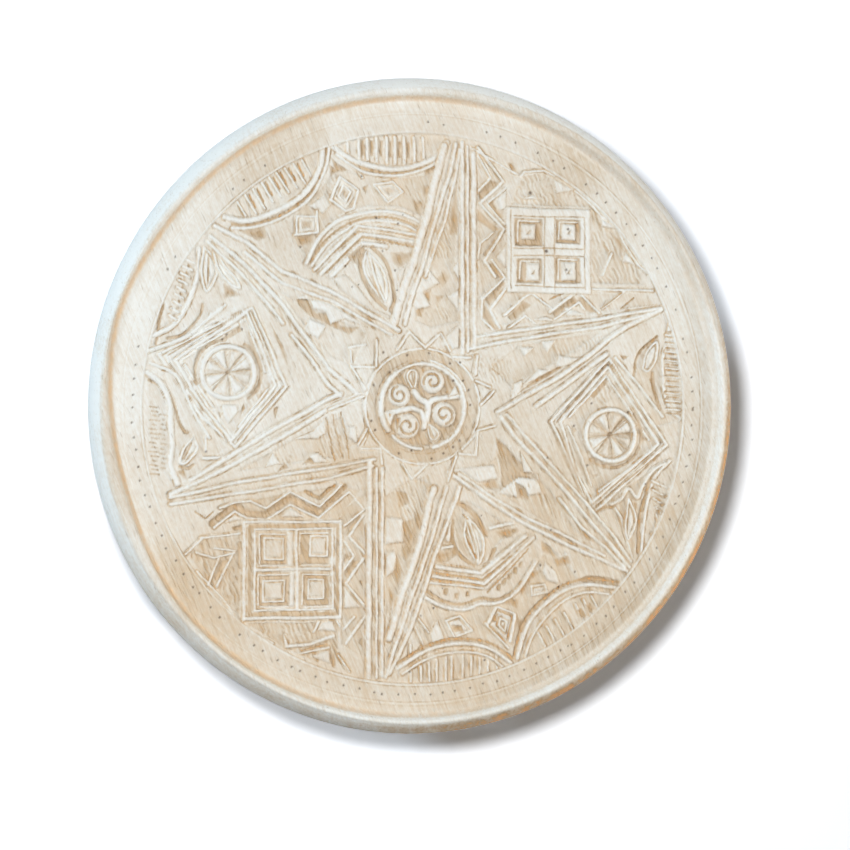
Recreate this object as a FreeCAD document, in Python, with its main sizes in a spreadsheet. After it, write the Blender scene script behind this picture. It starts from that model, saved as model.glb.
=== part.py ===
"""Round coffee table: a carved tray top of joined boards on a pegged frame with turned legs.

Millimetres. The table stands on z = 0 with its axis on Z, and the boards of the top run along Y.
"""
import FreeCAD, Part
import os
import Sketcher

from FreeCAD import Placement, Rotation, Vector

SIZES = (
    ("top_diameter", 700, "widest edge of the turned top"),
    ("table_height", 400, "floor to the crest of the lip"),
    ("slab_thickness", 26, "top under its plain band"),
    ("lip_height", 10, "crest of the lip over the plain band"),
    ("lip_outer_run", 10.5, "crest to the widest edge, measured level"),
    ("lip_outer_drop", 21, "crest down to the widest edge"),
    ("lip_outer_round", 40, "radius of the bulged outer wall"),
    ("lip_crest", 6.5, "width of the rounded crest"),
    ("lip_crest_rise", 1.5, "rise of the crest's rounding"),
    ("lip_inner_run", 8, "crest to the foot of the inner wall, measured level"),
    ("under_run", 14, "widest edge to the flat underside, measured level"),
    ("under_round", 24, "radius of the rounded lower edge"),
    ("plain_band", 11, "foot of the lip to the incised line"),
    ("dotted_band", 20.5, "incised line to the carved field"),
    ("line_width", 2, "incised line, at the surface"),
    ("line_depth", 1.2, "incised line, at its bottom"),
    ("carve_depth", 3, "ground of the carving below its ribs"),
    ("rib_width", 5, "ribs that stand between the cuts"),
    ("medallion_radius", 48, "outer edge of the ring in the middle"),
    ("medallion_gap", 12, "that ring to the rib round it"),
    ("scroll_place", 26, "axis to the middle of a scroll in the ring"),
    ("scroll_radius", 14, "outer edge of a scroll"),
    ("drop_place", 22, "axis to the near end of a drop in the ring"),
    ("drop_length", 20, "drops in the ring, end to end"),
    ("drop_round", 14, "radius of a drop's sides"),
    ("star_rays", 6, "rays of the star"),
    ("ray_root_gap", 8, "medallion's rib to the root of a ray"),
    ("ray_half_width", 40, "axis of a ray to its border at the root"),
    ("ray_overrun", 10, "point of a ray past the edge of the carved field"),
    ("diamond_margin", 30, "carved field's edge to the outer corner of a diamond"),
    ("diamond_reach", 60, "half of the diamond's diagonal that points at the axis"),
    ("diamond_half_width", 71, "half of the diamond's other diagonal"),
    ("diamond_step", 6, "outer to inner frame of a diamond"),
    ("rosette_radius", 28, "ring in the diamond"),
    ("rosette_hub", 9, "boss in the ring"),
    ("square_margin", 7, "carved field's edge to the outer corner of a crossed square"),
    ("square_reach", 64, "half of the square's diagonal"),
    ("cell_boss", 8, "half of the diagonal of the small square in a cell"),
    ("zigzag_gap", 24, "square's side to the middle of the zigzag beside it"),
    ("zigzag_pitch", 30, "teeth of a zigzag"),
    ("zigzag_swing", 11, "middle of a zigzag to the points of its teeth"),
    ("leaf_gap", 50, "medallion's rib to the near end of a leaf"),
    ("leaf_length", 58, "leaf, end to end"),
    ("leaf_round", 41, "radius of a leaf's sides"),
    ("chevron_gap", 32, "far end of a leaf to the apex of its chevron"),
    ("chevron_drop", 31, "apex of the chevron to its feet, towards the axis"),
    ("chevron_half_width", 60, "apex of the chevron to its feet, across"),
    ("fan_radius", 79, "arch of a fan"),
    ("fan_overhang", 37, "carved field's edge to the centre of a fan's arch"),
    ("board_count", 5, "boards of the top"),
    ("dowel_diameter", 10, "dowels between boards"),
    ("dowel_length", 50, "dowels between boards"),
    ("dowel_end_margin", 100, "end of a seam to its outer dowel"),
    ("batten_width", 45, "battens under the boards"),
    ("batten_height", 22, "battens under the boards"),
    ("batten_bevel", 6, "lower edges of the battens"),
    ("batten_taper_run", 28, "slanted ends of the battens, measured level"),
    ("batten_taper_rise", 12, "slanted ends of the battens, measured upright"),
    ("batten_end_margin", 14, "end of a batten to the edge of the underside"),
    ("batten_leg_gap", 32, "batten to the block of the leg beside it"),
    ("screw_diameter", 4.5, "shank of the batten screws"),
    ("screw_length", 30, "shank of the batten screws"),
    ("screw_head", 9, "head of the batten screws"),
    ("screw_head_height", 3, "head of the batten screws"),
    ("screw_slot", 1.4, "slot in the head"),
    ("screw_recess", 5, "underside of a batten to the seat of a screw head"),
    ("screw_end_margin", 40, "end of a batten to its outer screw"),
    ("leg_inset", 86, "top's edge to the axis of a leg"),
    ("leg_block", 52, "square blocks of a leg"),
    ("block_margin", 15, "apron's lower edge to the lower end of a leg's top block"),
    ("pommel", 9, "height of the shoulder between a block and a turned neck"),
    ("foot_height", 62, "floor to the stretcher block"),
    ("foot_radius", 17, "where a leg meets the floor"),
    ("foot_round", 34, "radius of the foot's bulge"),
    ("stretcher_block", 60, "height of the lower block"),
    ("neck_radius", 14, "necks of a leg"),
    ("neck_height", 5, "necks of a leg"),
    ("collar_radius", 16, "edge of a bead"),
    ("bead_height", 12, "beads of a leg"),
    ("bead_round", 6.6, "radius of a bead"),
    ("belly_radius", 24, "widest part of the vase"),
    ("belly_rise", 26, "foot of the vase to its widest part"),
    ("slim_radius", 11, "top of the vase"),
    ("apron_height", 85, "aprons"),
    ("apron_thickness", 22, "aprons"),
    ("arch_end", 34, "leg to the cut in an apron's lower edge"),
    ("arch_step", 6, "upright end of that cut"),
    ("arch_rise", 18, "rise of that cut's curve"),
    ("tenon_thickness", 10, "tenons of aprons and stretchers"),
    ("tenon_length", 20, "tenons of aprons and stretchers"),
    ("apron_shoulder", 12, "apron's edges to its tenon"),
    ("stretcher_height", 34, "stretchers"),
    ("stretcher_thickness", 22, "stretchers"),
    ("stretcher_bevel", 5, "long edges of the stretchers"),
    ("stretcher_shoulder", 6, "stretcher's edges to its tenon"),
    ("apron_peg", 8, "diameter of the pegs in aprons and battens"),
    ("stretcher_peg", 6, "diameter of the pegs in stretchers"),
    ("peg_length", 40, "pegs through tenons"),
    ("peg_proud", 1.5, "pegs out of the leg's face"),
    ("peg_bevel", 0.8, "ends of pegs and dowels"),
    ("peg_inset", 12, "leg's inner face to a peg"),
    ("peg_low", 10, "tenon's lower edge to the first peg of an apron"),
    ("peg_pitch", 28, "pegs of one apron tenon"),
    ("peg_stagger", 12, "pegs of two aprons in one leg"),
    ("stretcher_stagger", 11, "pegs of two stretchers in one leg"),
    ("batten_peg_length", 45, "pegs through battens into aprons"),
    ("fit_gap", 0.1, "clearance of tenons, pegs, dowels and screws in their holes"),
)

doc = FreeCAD.newDocument("round_coffee_table")
sheet = doc.addObject("Spreadsheet::Sheet", "Sizes")
for row, (alias, number, meaning) in enumerate(SIZES, start=1):
    sheet.set(f"A{row}", alias)
    sheet.set(f"B{row}", str(number))
    sheet.set(f"C{row}", meaning)
    sheet.setAlias(f"B{row}", alias)
doc.recompute()


def value(expression):
    """Number that an expression on the sheet gives now."""
    return float(sheet.evalExpression(expression))


# Levels and radii that several pieces share
EDGE = "(Sizes.top_diameter / 2)"
CREST_OUTER = f"({EDGE} - Sizes.lip_outer_run)"
CREST_INNER = f"({CREST_OUTER} - Sizes.lip_crest)"
LIP_FOOT = f"({CREST_INNER} - Sizes.lip_inner_run)"
LINE = f"({LIP_FOOT} - Sizes.plain_band)"
FIELD = f"({LINE} - Sizes.dotted_band)"
UNDERSIDE = f"({EDGE} - Sizes.under_run)"
MEDALLION_RIB = "(Sizes.medallion_radius + Sizes.medallion_gap)"
TOP_THICKNESS = "(Sizes.slab_thickness + Sizes.lip_height)"
GROUND = "(Sizes.slab_thickness - Sizes.carve_depth)"
FRAME_TOP = f"(Sizes.table_height - {TOP_THICKNESS})"
BOARD_WIDTH = "(Sizes.top_diameter / Sizes.board_count)"
LEG = f"(({EDGE} - Sizes.leg_inset) / sqrt(2))"
RAIL = f"(2 * {LEG} - Sizes.leg_block)"
# Degrees from the axis of a ray to the middle of the sector beside it
HALF_STEP = 180 / value("Sizes.star_rays")
BATTEN_PLACE = f"({LEG} - Sizes.leg_block / 2 - Sizes.batten_leg_gap - Sizes.batten_width / 2)"
BATTEN_REACH = (
    f"(sqrt({UNDERSIDE}^2 - ({BATTEN_PLACE} + Sizes.batten_width / 2)^2) - Sizes.batten_end_margin)"
)
BATTEN_BOTTOM = f"({FRAME_TOP} - Sizes.batten_height)"
TENON_END = "(Sizes.leg_block / 2 - Sizes.tenon_length)"
APRON_BOTTOM = f"({FRAME_TOP} - Sizes.apron_height)"
APRON_TENON_BOTTOM = f"({APRON_BOTTOM} + Sizes.apron_shoulder)"
APRON_TENON_TOP = f"({FRAME_TOP} - Sizes.apron_shoulder)"
STRETCHER = "(Sizes.foot_height + Sizes.stretcher_block / 2)"
STRETCHER_TENON = "(Sizes.stretcher_height / 2 - Sizes.stretcher_shoulder)"
PEG_PLACE = "(Sizes.leg_block / 2 - Sizes.peg_inset)"
PEG_END = "(Sizes.peg_length - Sizes.peg_proud - Sizes.leg_block / 2)"

BULGE_LEFT = 1
BULGE_RIGHT = -1
CORNERS = ("front_left", "front_right", "back_right", "back_left")
SIDES = ("front", "right", "back", "left")
UPWARD = Vector(0, 0, 1)

pieces = []


def new_body(label):
    """Empty body that the features of one piece go into."""
    return doc.addObject("PartDesign::Body", label)


def new_sketch(body, name, plane, offset="0", turn=0):
    """Sketch on one of the body's origin planes, moved along its normal and turned in it."""
    sketch = body.newObject("Sketcher::SketchObject", name)
    support = next(feature for feature in body.Origin.OriginFeatures if feature.Role == plane)
    sketch.AttachmentSupport = [(support, "")]
    sketch.MapMode = "FlatFace"
    sketch.AttachmentOffset = Placement(Vector(), Rotation(UPWARD, turn))
    if offset != "0":
        sketch.setExpression("AttachmentOffset.Base.z", offset)
    return sketch


def bind(sketch, kind, geometry, point, expression):
    """Hold one coordinate of a point, or a radius, at the value of an expression."""
    if kind == "Radius":
        constraint = Sketcher.Constraint(kind, geometry, value(expression))
    elif expression == "0":
        axis = -2 if kind == "DistanceX" else -1
        sketch.addConstraint(Sketcher.Constraint("PointOnObject", geometry, point, axis))
        return
    else:
        constraint = Sketcher.Constraint(kind, -1, 1, geometry, point, value(expression))
    index = sketch.addConstraint(constraint)
    sketch.setExpression(f"Constraints[{index}]", expression)


def arc_between(start, end, radius, side):
    """Arc of the given radius that bulges to one side of the line from start to end."""
    along = end - start
    left = Vector(-along.y, along.x, 0).normalize()
    sink = max(radius**2 - (along.Length / 2) ** 2, 0) ** 0.5
    centre = start + along * 0.5 - left * (side * sink)
    first, last = (end, start) if side == BULGE_LEFT else (start, end)
    east = Vector(1, 0, 0)
    angles = [east.getAngle(p - centre) * (1 if p.y >= centre.y else -1) for p in (first, last)]
    return Part.ArcOfCircle(Part.Circle(centre, UPWARD, radius), *angles)


def outline(sketch, corners):
    """Closed outline. A corner is (x, y), or (x, y, radius, side) where an arc follows it."""
    first = sketch.GeometryCount
    spots = [Vector(value(corner[0]), value(corner[1]), 0) for corner in corners]
    ends = []
    for index, corner in enumerate(corners):
        start, end = spots[index], spots[(index + 1) % len(spots)]
        if len(corner) == 4:
            sketch.addGeometry(arc_between(start, end, value(corner[2]), corner[3]), False)
            ends.append((2, 1) if corner[3] == BULGE_LEFT else (1, 2))
        else:
            sketch.addGeometry(Part.LineSegment(start, end), False)
            ends.append((1, 2))
    for index, corner in enumerate(corners):
        after = (index + 1) % len(corners)
        sketch.addConstraint(
            Sketcher.Constraint("Coincident", first + index, ends[index][1], first + after, ends[after][0])
        )
        bind(sketch, "DistanceX", first + index, ends[index][0], corner[0])
        bind(sketch, "DistanceY", first + index, ends[index][0], corner[1])
        if len(corner) == 4:
            bind(sketch, "Radius", first + index, 0, corner[2])


def circle(sketch, x, y, radius):
    """Circle whose centre, its point 3, and radius are expressions."""
    centre = Vector(value(x), value(y), 0)
    index = sketch.addGeometry(Part.Circle(centre, UPWARD, value(radius)), False)
    bind(sketch, "DistanceX", index, 3, x)
    bind(sketch, "DistanceY", index, 3, y)
    bind(sketch, "Radius", index, 0, radius)


def rectangle(sketch, left, bottom, right, top):
    outline(sketch, [(left, bottom), (right, bottom), (right, top), (left, top)])


def pad(body, sketch, length, symmetric=False):
    feature = body.newObject("PartDesign::Pad", f"{sketch.Name}_pad")
    feature.Profile = sketch
    feature.SideType = "Symmetric" if symmetric else "One side"
    feature.setExpression("Length", length)
    return feature


def spun(body, sketch, kind="PartDesign::Revolution"):
    """Turn a sketch about its upright axis, as added or as removed wood."""
    feature = body.newObject(kind, f"{sketch.Name}_turned")
    feature.Profile = sketch
    feature.ReferenceAxis = (sketch, ["V_Axis"])
    feature.Angle = 360
    return feature


def cut(body, sketch, depth=None, reverse=False, symmetric=False):
    """Cut a sketch's outlines out of the body, right through where no depth is given."""
    doc.recompute()
    before = body.Shape.Volume
    feature = body.newObject("PartDesign::Pocket", f"{sketch.Name}_cut")
    feature.Profile = sketch
    feature.Reversed = reverse
    feature.SideType = "Symmetric" if symmetric else "One side"
    if depth is None:
        feature.Type = "ThroughAll"
    else:
        feature.setExpression("Length", depth)
    doc.recompute()
    if not body.Shape.Volume < before:
        raise RuntimeError(f"{feature.Label} removes nothing")
    return feature


def stand(body, x, y, turn):
    """Set a body on the floor plan, turned about its own upright axis."""
    body.Placement = Placement(Vector(), Rotation(UPWARD, turn))
    for axis, expression in (("x", x), ("y", y)):
        if expression != "0":
            body.setExpression(f"Placement.Base.{axis}", expression)


def finish(piece, label):
    """Keep an object of the document as one piece of the table."""
    piece.Label = label
    pieces.append(piece)
    return piece


def group(label, pattern, places):
    """One piece made of separate copies of a body's solid."""
    doc.recompute()
    copies = [pattern.Shape.copy() for _ in places]
    for copy, place in zip(copies, places):
        copy.Placement = place
    feature = doc.addObject("Part::Feature", label)
    feature.Shape = Part.makeCompound(copies)
    feature.Placement = Placement()
    return finish(feature, label)


# Turned and carved disc that the boards are cut from
def turned_disc():
    body = new_body("turned_disc")
    profile = new_sketch(body, "disc_profile", "XZ_Plane")
    shoulder = f"({TOP_THICKNESS} - Sizes.lip_crest_rise)"
    crest_round = "((Sizes.lip_crest^2 / 4 + Sizes.lip_crest_rise^2) / (2 * Sizes.lip_crest_rise))"
    outline(profile, [
        ("0", "0"),
        (UNDERSIDE, "0", "Sizes.under_round", BULGE_RIGHT),
        (EDGE, f"{TOP_THICKNESS} - Sizes.lip_outer_drop", "Sizes.lip_outer_round", BULGE_RIGHT),
        (CREST_OUTER, shoulder, crest_round, BULGE_RIGHT),
        (CREST_INNER, shoulder),
        (LIP_FOOT, "Sizes.slab_thickness"),
        (f"{LINE} + Sizes.line_width / 2", "Sizes.slab_thickness"),
        (LINE, "Sizes.slab_thickness - Sizes.line_depth"),
        (f"{LINE} - Sizes.line_width / 2", "Sizes.slab_thickness"),
        (FIELD, "Sizes.slab_thickness"),
        (FIELD, GROUND),
        ("0", GROUND),
    ])
    spun(body, profile)
    medallion(body)
    rays = pad(body, ray_sketch(body), "Sizes.carve_depth")
    repeat_round(body, [rays], "ray_pattern", "Sizes.star_rays")
    motifs = [
        pad(body, drawing, "Sizes.carve_depth")
        for drawing in (
            *diamond_sketches(body), *square_sketches(body), *zigzag_sketches(body), *leaf_sketches(body)
        )
    ]
    repeat_round(body, motifs, "sector_pattern", "2")
    body.setExpression("Placement.Base.z", FRAME_TOP)
    return body


def carving_sketch(body, name, turn=0):
    """Sketch on the ground of the carving, with x pointing away from the axis."""
    return new_sketch(body, name, "XY_Plane", GROUND, turn)


def repeat_round(body, features, name, count):
    """Repeat features evenly round the axis of the table."""
    pattern = body.newObject("PartDesign::PolarPattern", name)
    pattern.Originals = features
    axis = next(feature for feature in body.Origin.OriginFeatures if feature.Role == "Z_Axis")
    pattern.Axis = (axis, [""])
    pattern.Angle = 360
    pattern.setExpression("Occurrences", count)
    body.Tip = pattern


def medallion(body):
    """Ring with scrolls and drops on the ground inside it, and the rib round it."""
    ring = carving_sketch(body, "medallion_ring")
    for inner in ("(Sizes.medallion_radius - Sizes.rib_width)", MEDALLION_RIB):
        circle(ring, "0", "0", inner)
        circle(ring, "0", "0", f"{inner} + Sizes.rib_width")
    pad(body, ring, "Sizes.carve_depth")
    scroll = carving_sketch(body, "scroll", 45)
    circle(scroll, "Sizes.scroll_place", "0", "Sizes.scroll_radius")
    circle(scroll, "Sizes.scroll_place", "0", "Sizes.scroll_radius - Sizes.rib_width")
    repeat_round(body, [pad(body, scroll, "Sizes.carve_depth")], "scroll_pattern", "4")
    drop = carving_sketch(body, "drop", 90)
    outline(drop, [
        ("Sizes.drop_place", "0", "Sizes.drop_round", BULGE_RIGHT),
        ("Sizes.drop_place + Sizes.drop_length", "0", "Sizes.drop_round", BULGE_RIGHT),
    ])
    repeat_round(body, [pad(body, drop, "Sizes.carve_depth")], "drop_pattern", "2")


def ray_sketch(body):
    """Two ribs that run from the medallion and meet in a point at the field's edge."""
    drawing = carving_sketch(body, "ray_ribs")
    root = f"({MEDALLION_RIB} + Sizes.rib_width + Sizes.ray_root_gap)"
    tip = f"({FIELD} + Sizes.ray_overrun)"
    reach = f"({tip} - {root})"
    slope_length = f"sqrt({reach}^2 + Sizes.ray_half_width^2)"
    inner_tip = f"({tip} - Sizes.rib_width * {slope_length} / Sizes.ray_half_width)"
    inner_root = f"(Sizes.ray_half_width - Sizes.rib_width * {slope_length} / {reach})"
    outline(drawing, [
        (root, "Sizes.ray_half_width"),
        (root, inner_root),
        (inner_tip, "0"),
        (root, f"-{inner_root}"),
        (root, "-Sizes.ray_half_width"),
        (tip, "0"),
    ])
    return drawing


def rhombus(drawing, centre, reach, half_width):
    outline(drawing, [
        (f"{centre} + {reach}", "0"),
        (centre, half_width),
        (f"{centre} - {reach}", "0"),
        (centre, f"-{half_width}"),
    ])


def diamond_sketches(body):
    """Two diamond frames with a ring and a boss in them, in the sector before the first ray."""
    sector = -HALF_STEP
    centre = f"({FIELD} - Sizes.diamond_margin - Sizes.diamond_reach)"
    side = "sqrt(Sizes.diamond_reach^2 + Sizes.diamond_half_width^2)"
    frames = []
    step = "0"
    for name in ("diamond_frame", "inner_diamond_frame"):
        frame = carving_sketch(body, name, sector)
        for inset in (f"({step})", f"({step} + Sizes.rib_width)"):
            rhombus(
                frame, centre,
                f"(Sizes.diamond_reach - {inset} * {side} / Sizes.diamond_half_width)",
                f"(Sizes.diamond_half_width - {inset} * {side} / Sizes.diamond_reach)",
            )
        frames.append(frame)
        step = "Sizes.rib_width + Sizes.diamond_step"
    rosette = carving_sketch(body, "rosette", sector)
    circle(rosette, centre, "0", "Sizes.rosette_radius")
    circle(rosette, centre, "0", "Sizes.rosette_radius - Sizes.rib_width")
    boss = carving_sketch(body, "rosette_boss", sector)
    circle(boss, centre, "0", "Sizes.rosette_hub")
    return *frames, rosette, boss


def square_sketches(body):
    """Square on its corner, with ribs that cross in it and a small square in each cell."""
    frame = carving_sketch(body, "crossed_square", HALF_STEP)
    bosses = carving_sketch(body, "cell_bosses", HALF_STEP)
    centre = f"({FIELD} - Sizes.square_margin - Sizes.square_reach)"
    half_rib = "(Sizes.rib_width * sqrt(2) / 2)"
    cell_reach = f"((Sizes.square_reach - 2 * {half_rib} - {half_rib}) / 2)"
    cell_place = f"({half_rib} + {cell_reach})"
    rhombus(frame, centre, "Sizes.square_reach", "Sizes.square_reach")
    for drawing, reach in ((frame, cell_reach), (bosses, "Sizes.cell_boss")):
        for shift in (f"+ {cell_place}", f"- {cell_place}"):
            rhombus(drawing, f"({centre} {shift})", reach, reach)
        for shift in ("", "-"):
            across = f"{shift}{cell_place}"
            outline(drawing, [
                (f"{centre} + {reach}", across),
                (centre, f"{across} + {reach}"),
                (f"{centre} - {reach}", across),
                (centre, f"{across} - {reach}"),
            ])
    return frame, bosses


def zigzag_sketches(body):
    """Zigzag ribs along the two sides of the crossed square that face the axis."""
    near_corner = f"({FIELD} - Sizes.square_margin - 2 * Sizes.square_reach)"
    rise = "sqrt(Sizes.zigzag_pitch^2 / 4 + 4 * Sizes.zigzag_swing^2)"
    thickness = f"(Sizes.rib_width * {rise} / (Sizes.zigzag_pitch / 2))"
    turns = 7
    drawings = []
    for name, mirror in (("left_zigzag", ""), ("right_zigzag", "-")):
        drawing = carving_sketch(body, name, HALF_STEP)
        corners = []
        for edge, order in (("+", range(turns + 1)), ("-", range(turns, -1, -1))):
            for number in order:
                along = f"({number} * Sizes.zigzag_pitch / 2)"
                swing = f"{'+' if number % 2 else '-'} Sizes.zigzag_swing"
                off = f"(Sizes.zigzag_gap {swing} {edge} {thickness} / 2)"
                corners.append((
                    f"{near_corner} + ({along} - {off}) * sqrt(2) / 2",
                    f"{mirror}({along} + {off}) * sqrt(2) / 2",
                ))
        outline(drawing, corners)
        drawings.append(drawing)
    return drawings


def leaf_sketches(body):
    """Leaf, chevron over it and the arches of two fans, in the sector along the boards."""
    sector = 3 * HALF_STEP
    fan_turn = 14
    leaf_start = f"({MEDALLION_RIB} + Sizes.leaf_gap)"
    leaf_end = f"({leaf_start} + Sizes.leaf_length)"
    leaf = carving_sketch(body, "leaf", sector)
    outline(leaf, [
        (leaf_start, "0", "Sizes.leaf_round", BULGE_RIGHT),
        (leaf_end, "0", "Sizes.leaf_round", BULGE_RIGHT),
    ])
    apex = f"({leaf_end} + Sizes.chevron_gap)"
    slope = "sqrt(Sizes.chevron_drop^2 + Sizes.chevron_half_width^2)"
    thickness = f"(Sizes.rib_width * {slope} / Sizes.chevron_half_width)"
    chevron = carving_sketch(body, "chevron", sector)
    outline(chevron, [
        (apex, "0"),
        (f"{apex} - Sizes.chevron_drop", "Sizes.chevron_half_width"),
        (f"{apex} - Sizes.chevron_drop - {thickness}", "Sizes.chevron_half_width"),
        (f"{apex} - {thickness}", "0"),
        (f"{apex} - Sizes.chevron_drop - {thickness}", "-Sizes.chevron_half_width"),
        (f"{apex} - Sizes.chevron_drop", "-Sizes.chevron_half_width"),
    ])
    outer = "sqrt(Sizes.fan_radius^2 - Sizes.fan_overhang^2)"
    inner = "sqrt((Sizes.fan_radius - Sizes.rib_width)^2 - Sizes.fan_overhang^2)"
    fans = []
    for name, turn in (("left_fan", sector + fan_turn), ("right_fan", sector - fan_turn)):
        fan = carving_sketch(body, name, turn)
        outline(fan, [
            (FIELD, outer, "Sizes.fan_radius", BULGE_RIGHT),
            (FIELD, f"-{outer}"),
            (FIELD, f"-{inner}", "Sizes.fan_radius - Sizes.rib_width", BULGE_LEFT),
            (FIELD, inner),
        ])
        fans.append(fan)
    return leaf, chevron, *fans


# Boards, their dowels and the screws' pilot holes
def seam_places():
    """Middles of the dowels, by seam."""
    count = int(value("Sizes.board_count"))
    level = f"{FRAME_TOP} + {GROUND} / 2"
    places = []
    for seam in range(1, count):
        x = f"(Sizes.top_diameter * ({seam} / Sizes.board_count - 0.5))"
        reach = f"(sqrt({EDGE}^2 - {x}^2) - Sizes.dowel_end_margin)"
        places += [(x, y, level) for y in (f"-{reach}", "0", reach)]
    return places


def screw_places():
    """Seats of the screw heads: one screw for each board in each batten."""
    count = int(value("Sizes.board_count"))
    last = count - 1
    seat = f"({BATTEN_BOTTOM} + Sizes.screw_recess)"
    places = []
    for board in range(count):
        if board in (0, last):
            sign = "-" if board == 0 else ""
            x = f"{sign}({BATTEN_REACH} - Sizes.screw_end_margin)"
        else:
            x = f"({BOARD_WIDTH} * ({board} - {last} / 2))"
        places += [(x, y, seat) for y in (f"-{BATTEN_PLACE}", BATTEN_PLACE)]
    return places


def hole(name, radius, length, place, turn):
    """Cylinder to cut out, placed by expressions."""
    rod = doc.addObject("Part::Cylinder", name)
    rod.setExpression("Radius", radius)
    rod.setExpression("Height", length)
    rod.Placement = Placement(Vector(), turn)
    for axis, expression in zip("xyz", place):
        rod.setExpression(f"Placement.Base.{axis}", expression)
    return rod


def make_boards(disc):
    dowel_half = "(Sizes.dowel_length / 2 + Sizes.fit_gap)"
    rods = [
        hole(f"dowel_hole_{index}", "Sizes.dowel_diameter / 2 + Sizes.fit_gap", f"2 * {dowel_half}",
             (f"{x} - {dowel_half}", y, z), Rotation(Vector(0, 1, 0), 90))
        for index, (x, y, z) in enumerate(seam_places())
    ]
    rods += [
        hole(f"pilot_hole_{index}", "Sizes.screw_diameter / 2 + Sizes.fit_gap",
             "Sizes.screw_length + Sizes.fit_gap", place, Rotation())
        for index, place in enumerate(screw_places())
    ]
    holes = doc.addObject("Part::Compound", "board_holes")
    holes.Links = rods
    for board in range(int(value("Sizes.board_count"))):
        strip = doc.addObject("Part::Box", f"strip_{board + 1}")
        strip.setExpression("Length", BOARD_WIDTH)
        strip.setExpression("Width", "Sizes.top_diameter")
        strip.setExpression("Height", TOP_THICKNESS)
        strip.setExpression("Placement.Base.x", f"{board} * {BOARD_WIDTH} - {EDGE}")
        strip.setExpression("Placement.Base.y", f"-{EDGE}")
        strip.setExpression("Placement.Base.z", FRAME_TOP)
        plank = doc.addObject("Part::Common", f"plank_{board + 1}")
        plank.Base, plank.Tool = disc, strip
        drilled = doc.addObject("Part::Cut", f"top_board_{board + 1}")
        drilled.Base, drilled.Tool = plank, holes
        finish(drilled, f"top_board_{board + 1}")


def round_peg(name, diameter, length):
    """Peg or dowel along Z from the origin, with bevelled ends."""
    body = new_body(name)
    profile = new_sketch(body, f"{name}_profile", "XZ_Plane")
    outline(profile, [
        ("0", "0"),
        (f"{diameter} / 2 - Sizes.peg_bevel", "0"),
        (f"{diameter} / 2", "Sizes.peg_bevel"),
        (f"{diameter} / 2", f"{length} - Sizes.peg_bevel"),
        (f"{diameter} / 2 - Sizes.peg_bevel", length),
        ("0", length),
    ])
    spun(body, profile)
    return body


def make_dowels():
    dowel = round_peg("dowel", "Sizes.dowel_diameter", "Sizes.dowel_length")
    along_x = Rotation(Vector(0, 1, 0), 90)
    places = [
        Placement(Vector(value(f"{x} - Sizes.dowel_length / 2"), value(y), value(z)), along_x)
        for x, y, z in seam_places()
    ]
    group("board_dowels", dowel, places)


def make_screws():
    """Slotted screws, driven up through the battens."""
    screw = new_body("screw")
    profile = new_sketch(screw, "screw_profile", "XZ_Plane")
    outline(profile, [
        ("0", "-Sizes.screw_head_height"),
        ("Sizes.screw_head / 2", "-Sizes.screw_head_height"),
        ("Sizes.screw_head / 2", "0"),
        ("Sizes.screw_diameter / 2", "0"),
        ("Sizes.screw_diameter / 2", "Sizes.screw_length - Sizes.screw_diameter"),
        ("0", "Sizes.screw_length"),
    ])
    spun(screw, profile)
    slot = new_sketch(screw, "screw_slot", "XY_Plane", "-Sizes.screw_head_height")
    rectangle(slot, "-Sizes.screw_head", "-Sizes.screw_slot / 2", "Sizes.screw_head", "Sizes.screw_slot / 2")
    cut(screw, slot, "Sizes.screw_head_height / 2", reverse=True)
    places = [Placement(Vector(*map(value, place)), Rotation()) for place in screw_places()]
    group("batten_screws", screw, places)


# Battens across the boards, let into the side aprons
def make_batten(side, sign):
    body = new_body(f"batten_{side}")
    half = "Sizes.batten_width / 2"
    section = new_sketch(body, f"batten_{side}_section", "YZ_Plane")
    outline(section, [
        (f"-{half} + Sizes.batten_bevel", BATTEN_BOTTOM),
        (f"{half} - Sizes.batten_bevel", BATTEN_BOTTOM),
        (half, f"{BATTEN_BOTTOM} + Sizes.batten_bevel"),
        (half, FRAME_TOP),
        (f"-{half}", FRAME_TOP),
        (f"-{half}", f"{BATTEN_BOTTOM} + Sizes.batten_bevel"),
    ])
    pad(body, section, f"2 * {BATTEN_REACH}", symmetric=True)
    tapers = new_sketch(body, f"batten_{side}_tapers", "XZ_Plane")
    for sign_x in ("-", ""):
        outline(tapers, [
            (f"{sign_x}{BATTEN_REACH}", BATTEN_BOTTOM),
            (f"{sign_x}{BATTEN_REACH}", f"{BATTEN_BOTTOM} + Sizes.batten_taper_rise"),
            (f"{sign_x}({BATTEN_REACH} - Sizes.batten_taper_run)", BATTEN_BOTTOM),
        ])
    cut(body, tapers, symmetric=True)
    shanks = new_sketch(body, f"batten_{side}_shanks", "XY_Plane", BATTEN_BOTTOM)
    recesses = new_sketch(body, f"batten_{side}_recesses", "XY_Plane", BATTEN_BOTTOM)
    for x in sorted({place[0] for place in screw_places()}):
        circle(shanks, x, "0", "Sizes.screw_diameter / 2 + Sizes.fit_gap")
        circle(recesses, x, "0", "Sizes.screw_head / 2 + Sizes.fit_gap")
    cut(body, shanks, reverse=True)
    cut(body, recesses, "Sizes.screw_recess", reverse=True)
    peg_holes = new_sketch(body, f"batten_{side}_peg_holes", "XY_Plane", BATTEN_BOTTOM)
    for sign_x in ("-", ""):
        circle(peg_holes, f"{sign_x}{LEG}", "0", "Sizes.apron_peg / 2 + Sizes.fit_gap")
    cut(body, peg_holes, reverse=True)
    stand(body, "0", f"{sign}{BATTEN_PLACE}", 0)
    finish(body, f"batten_{side}")


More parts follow.
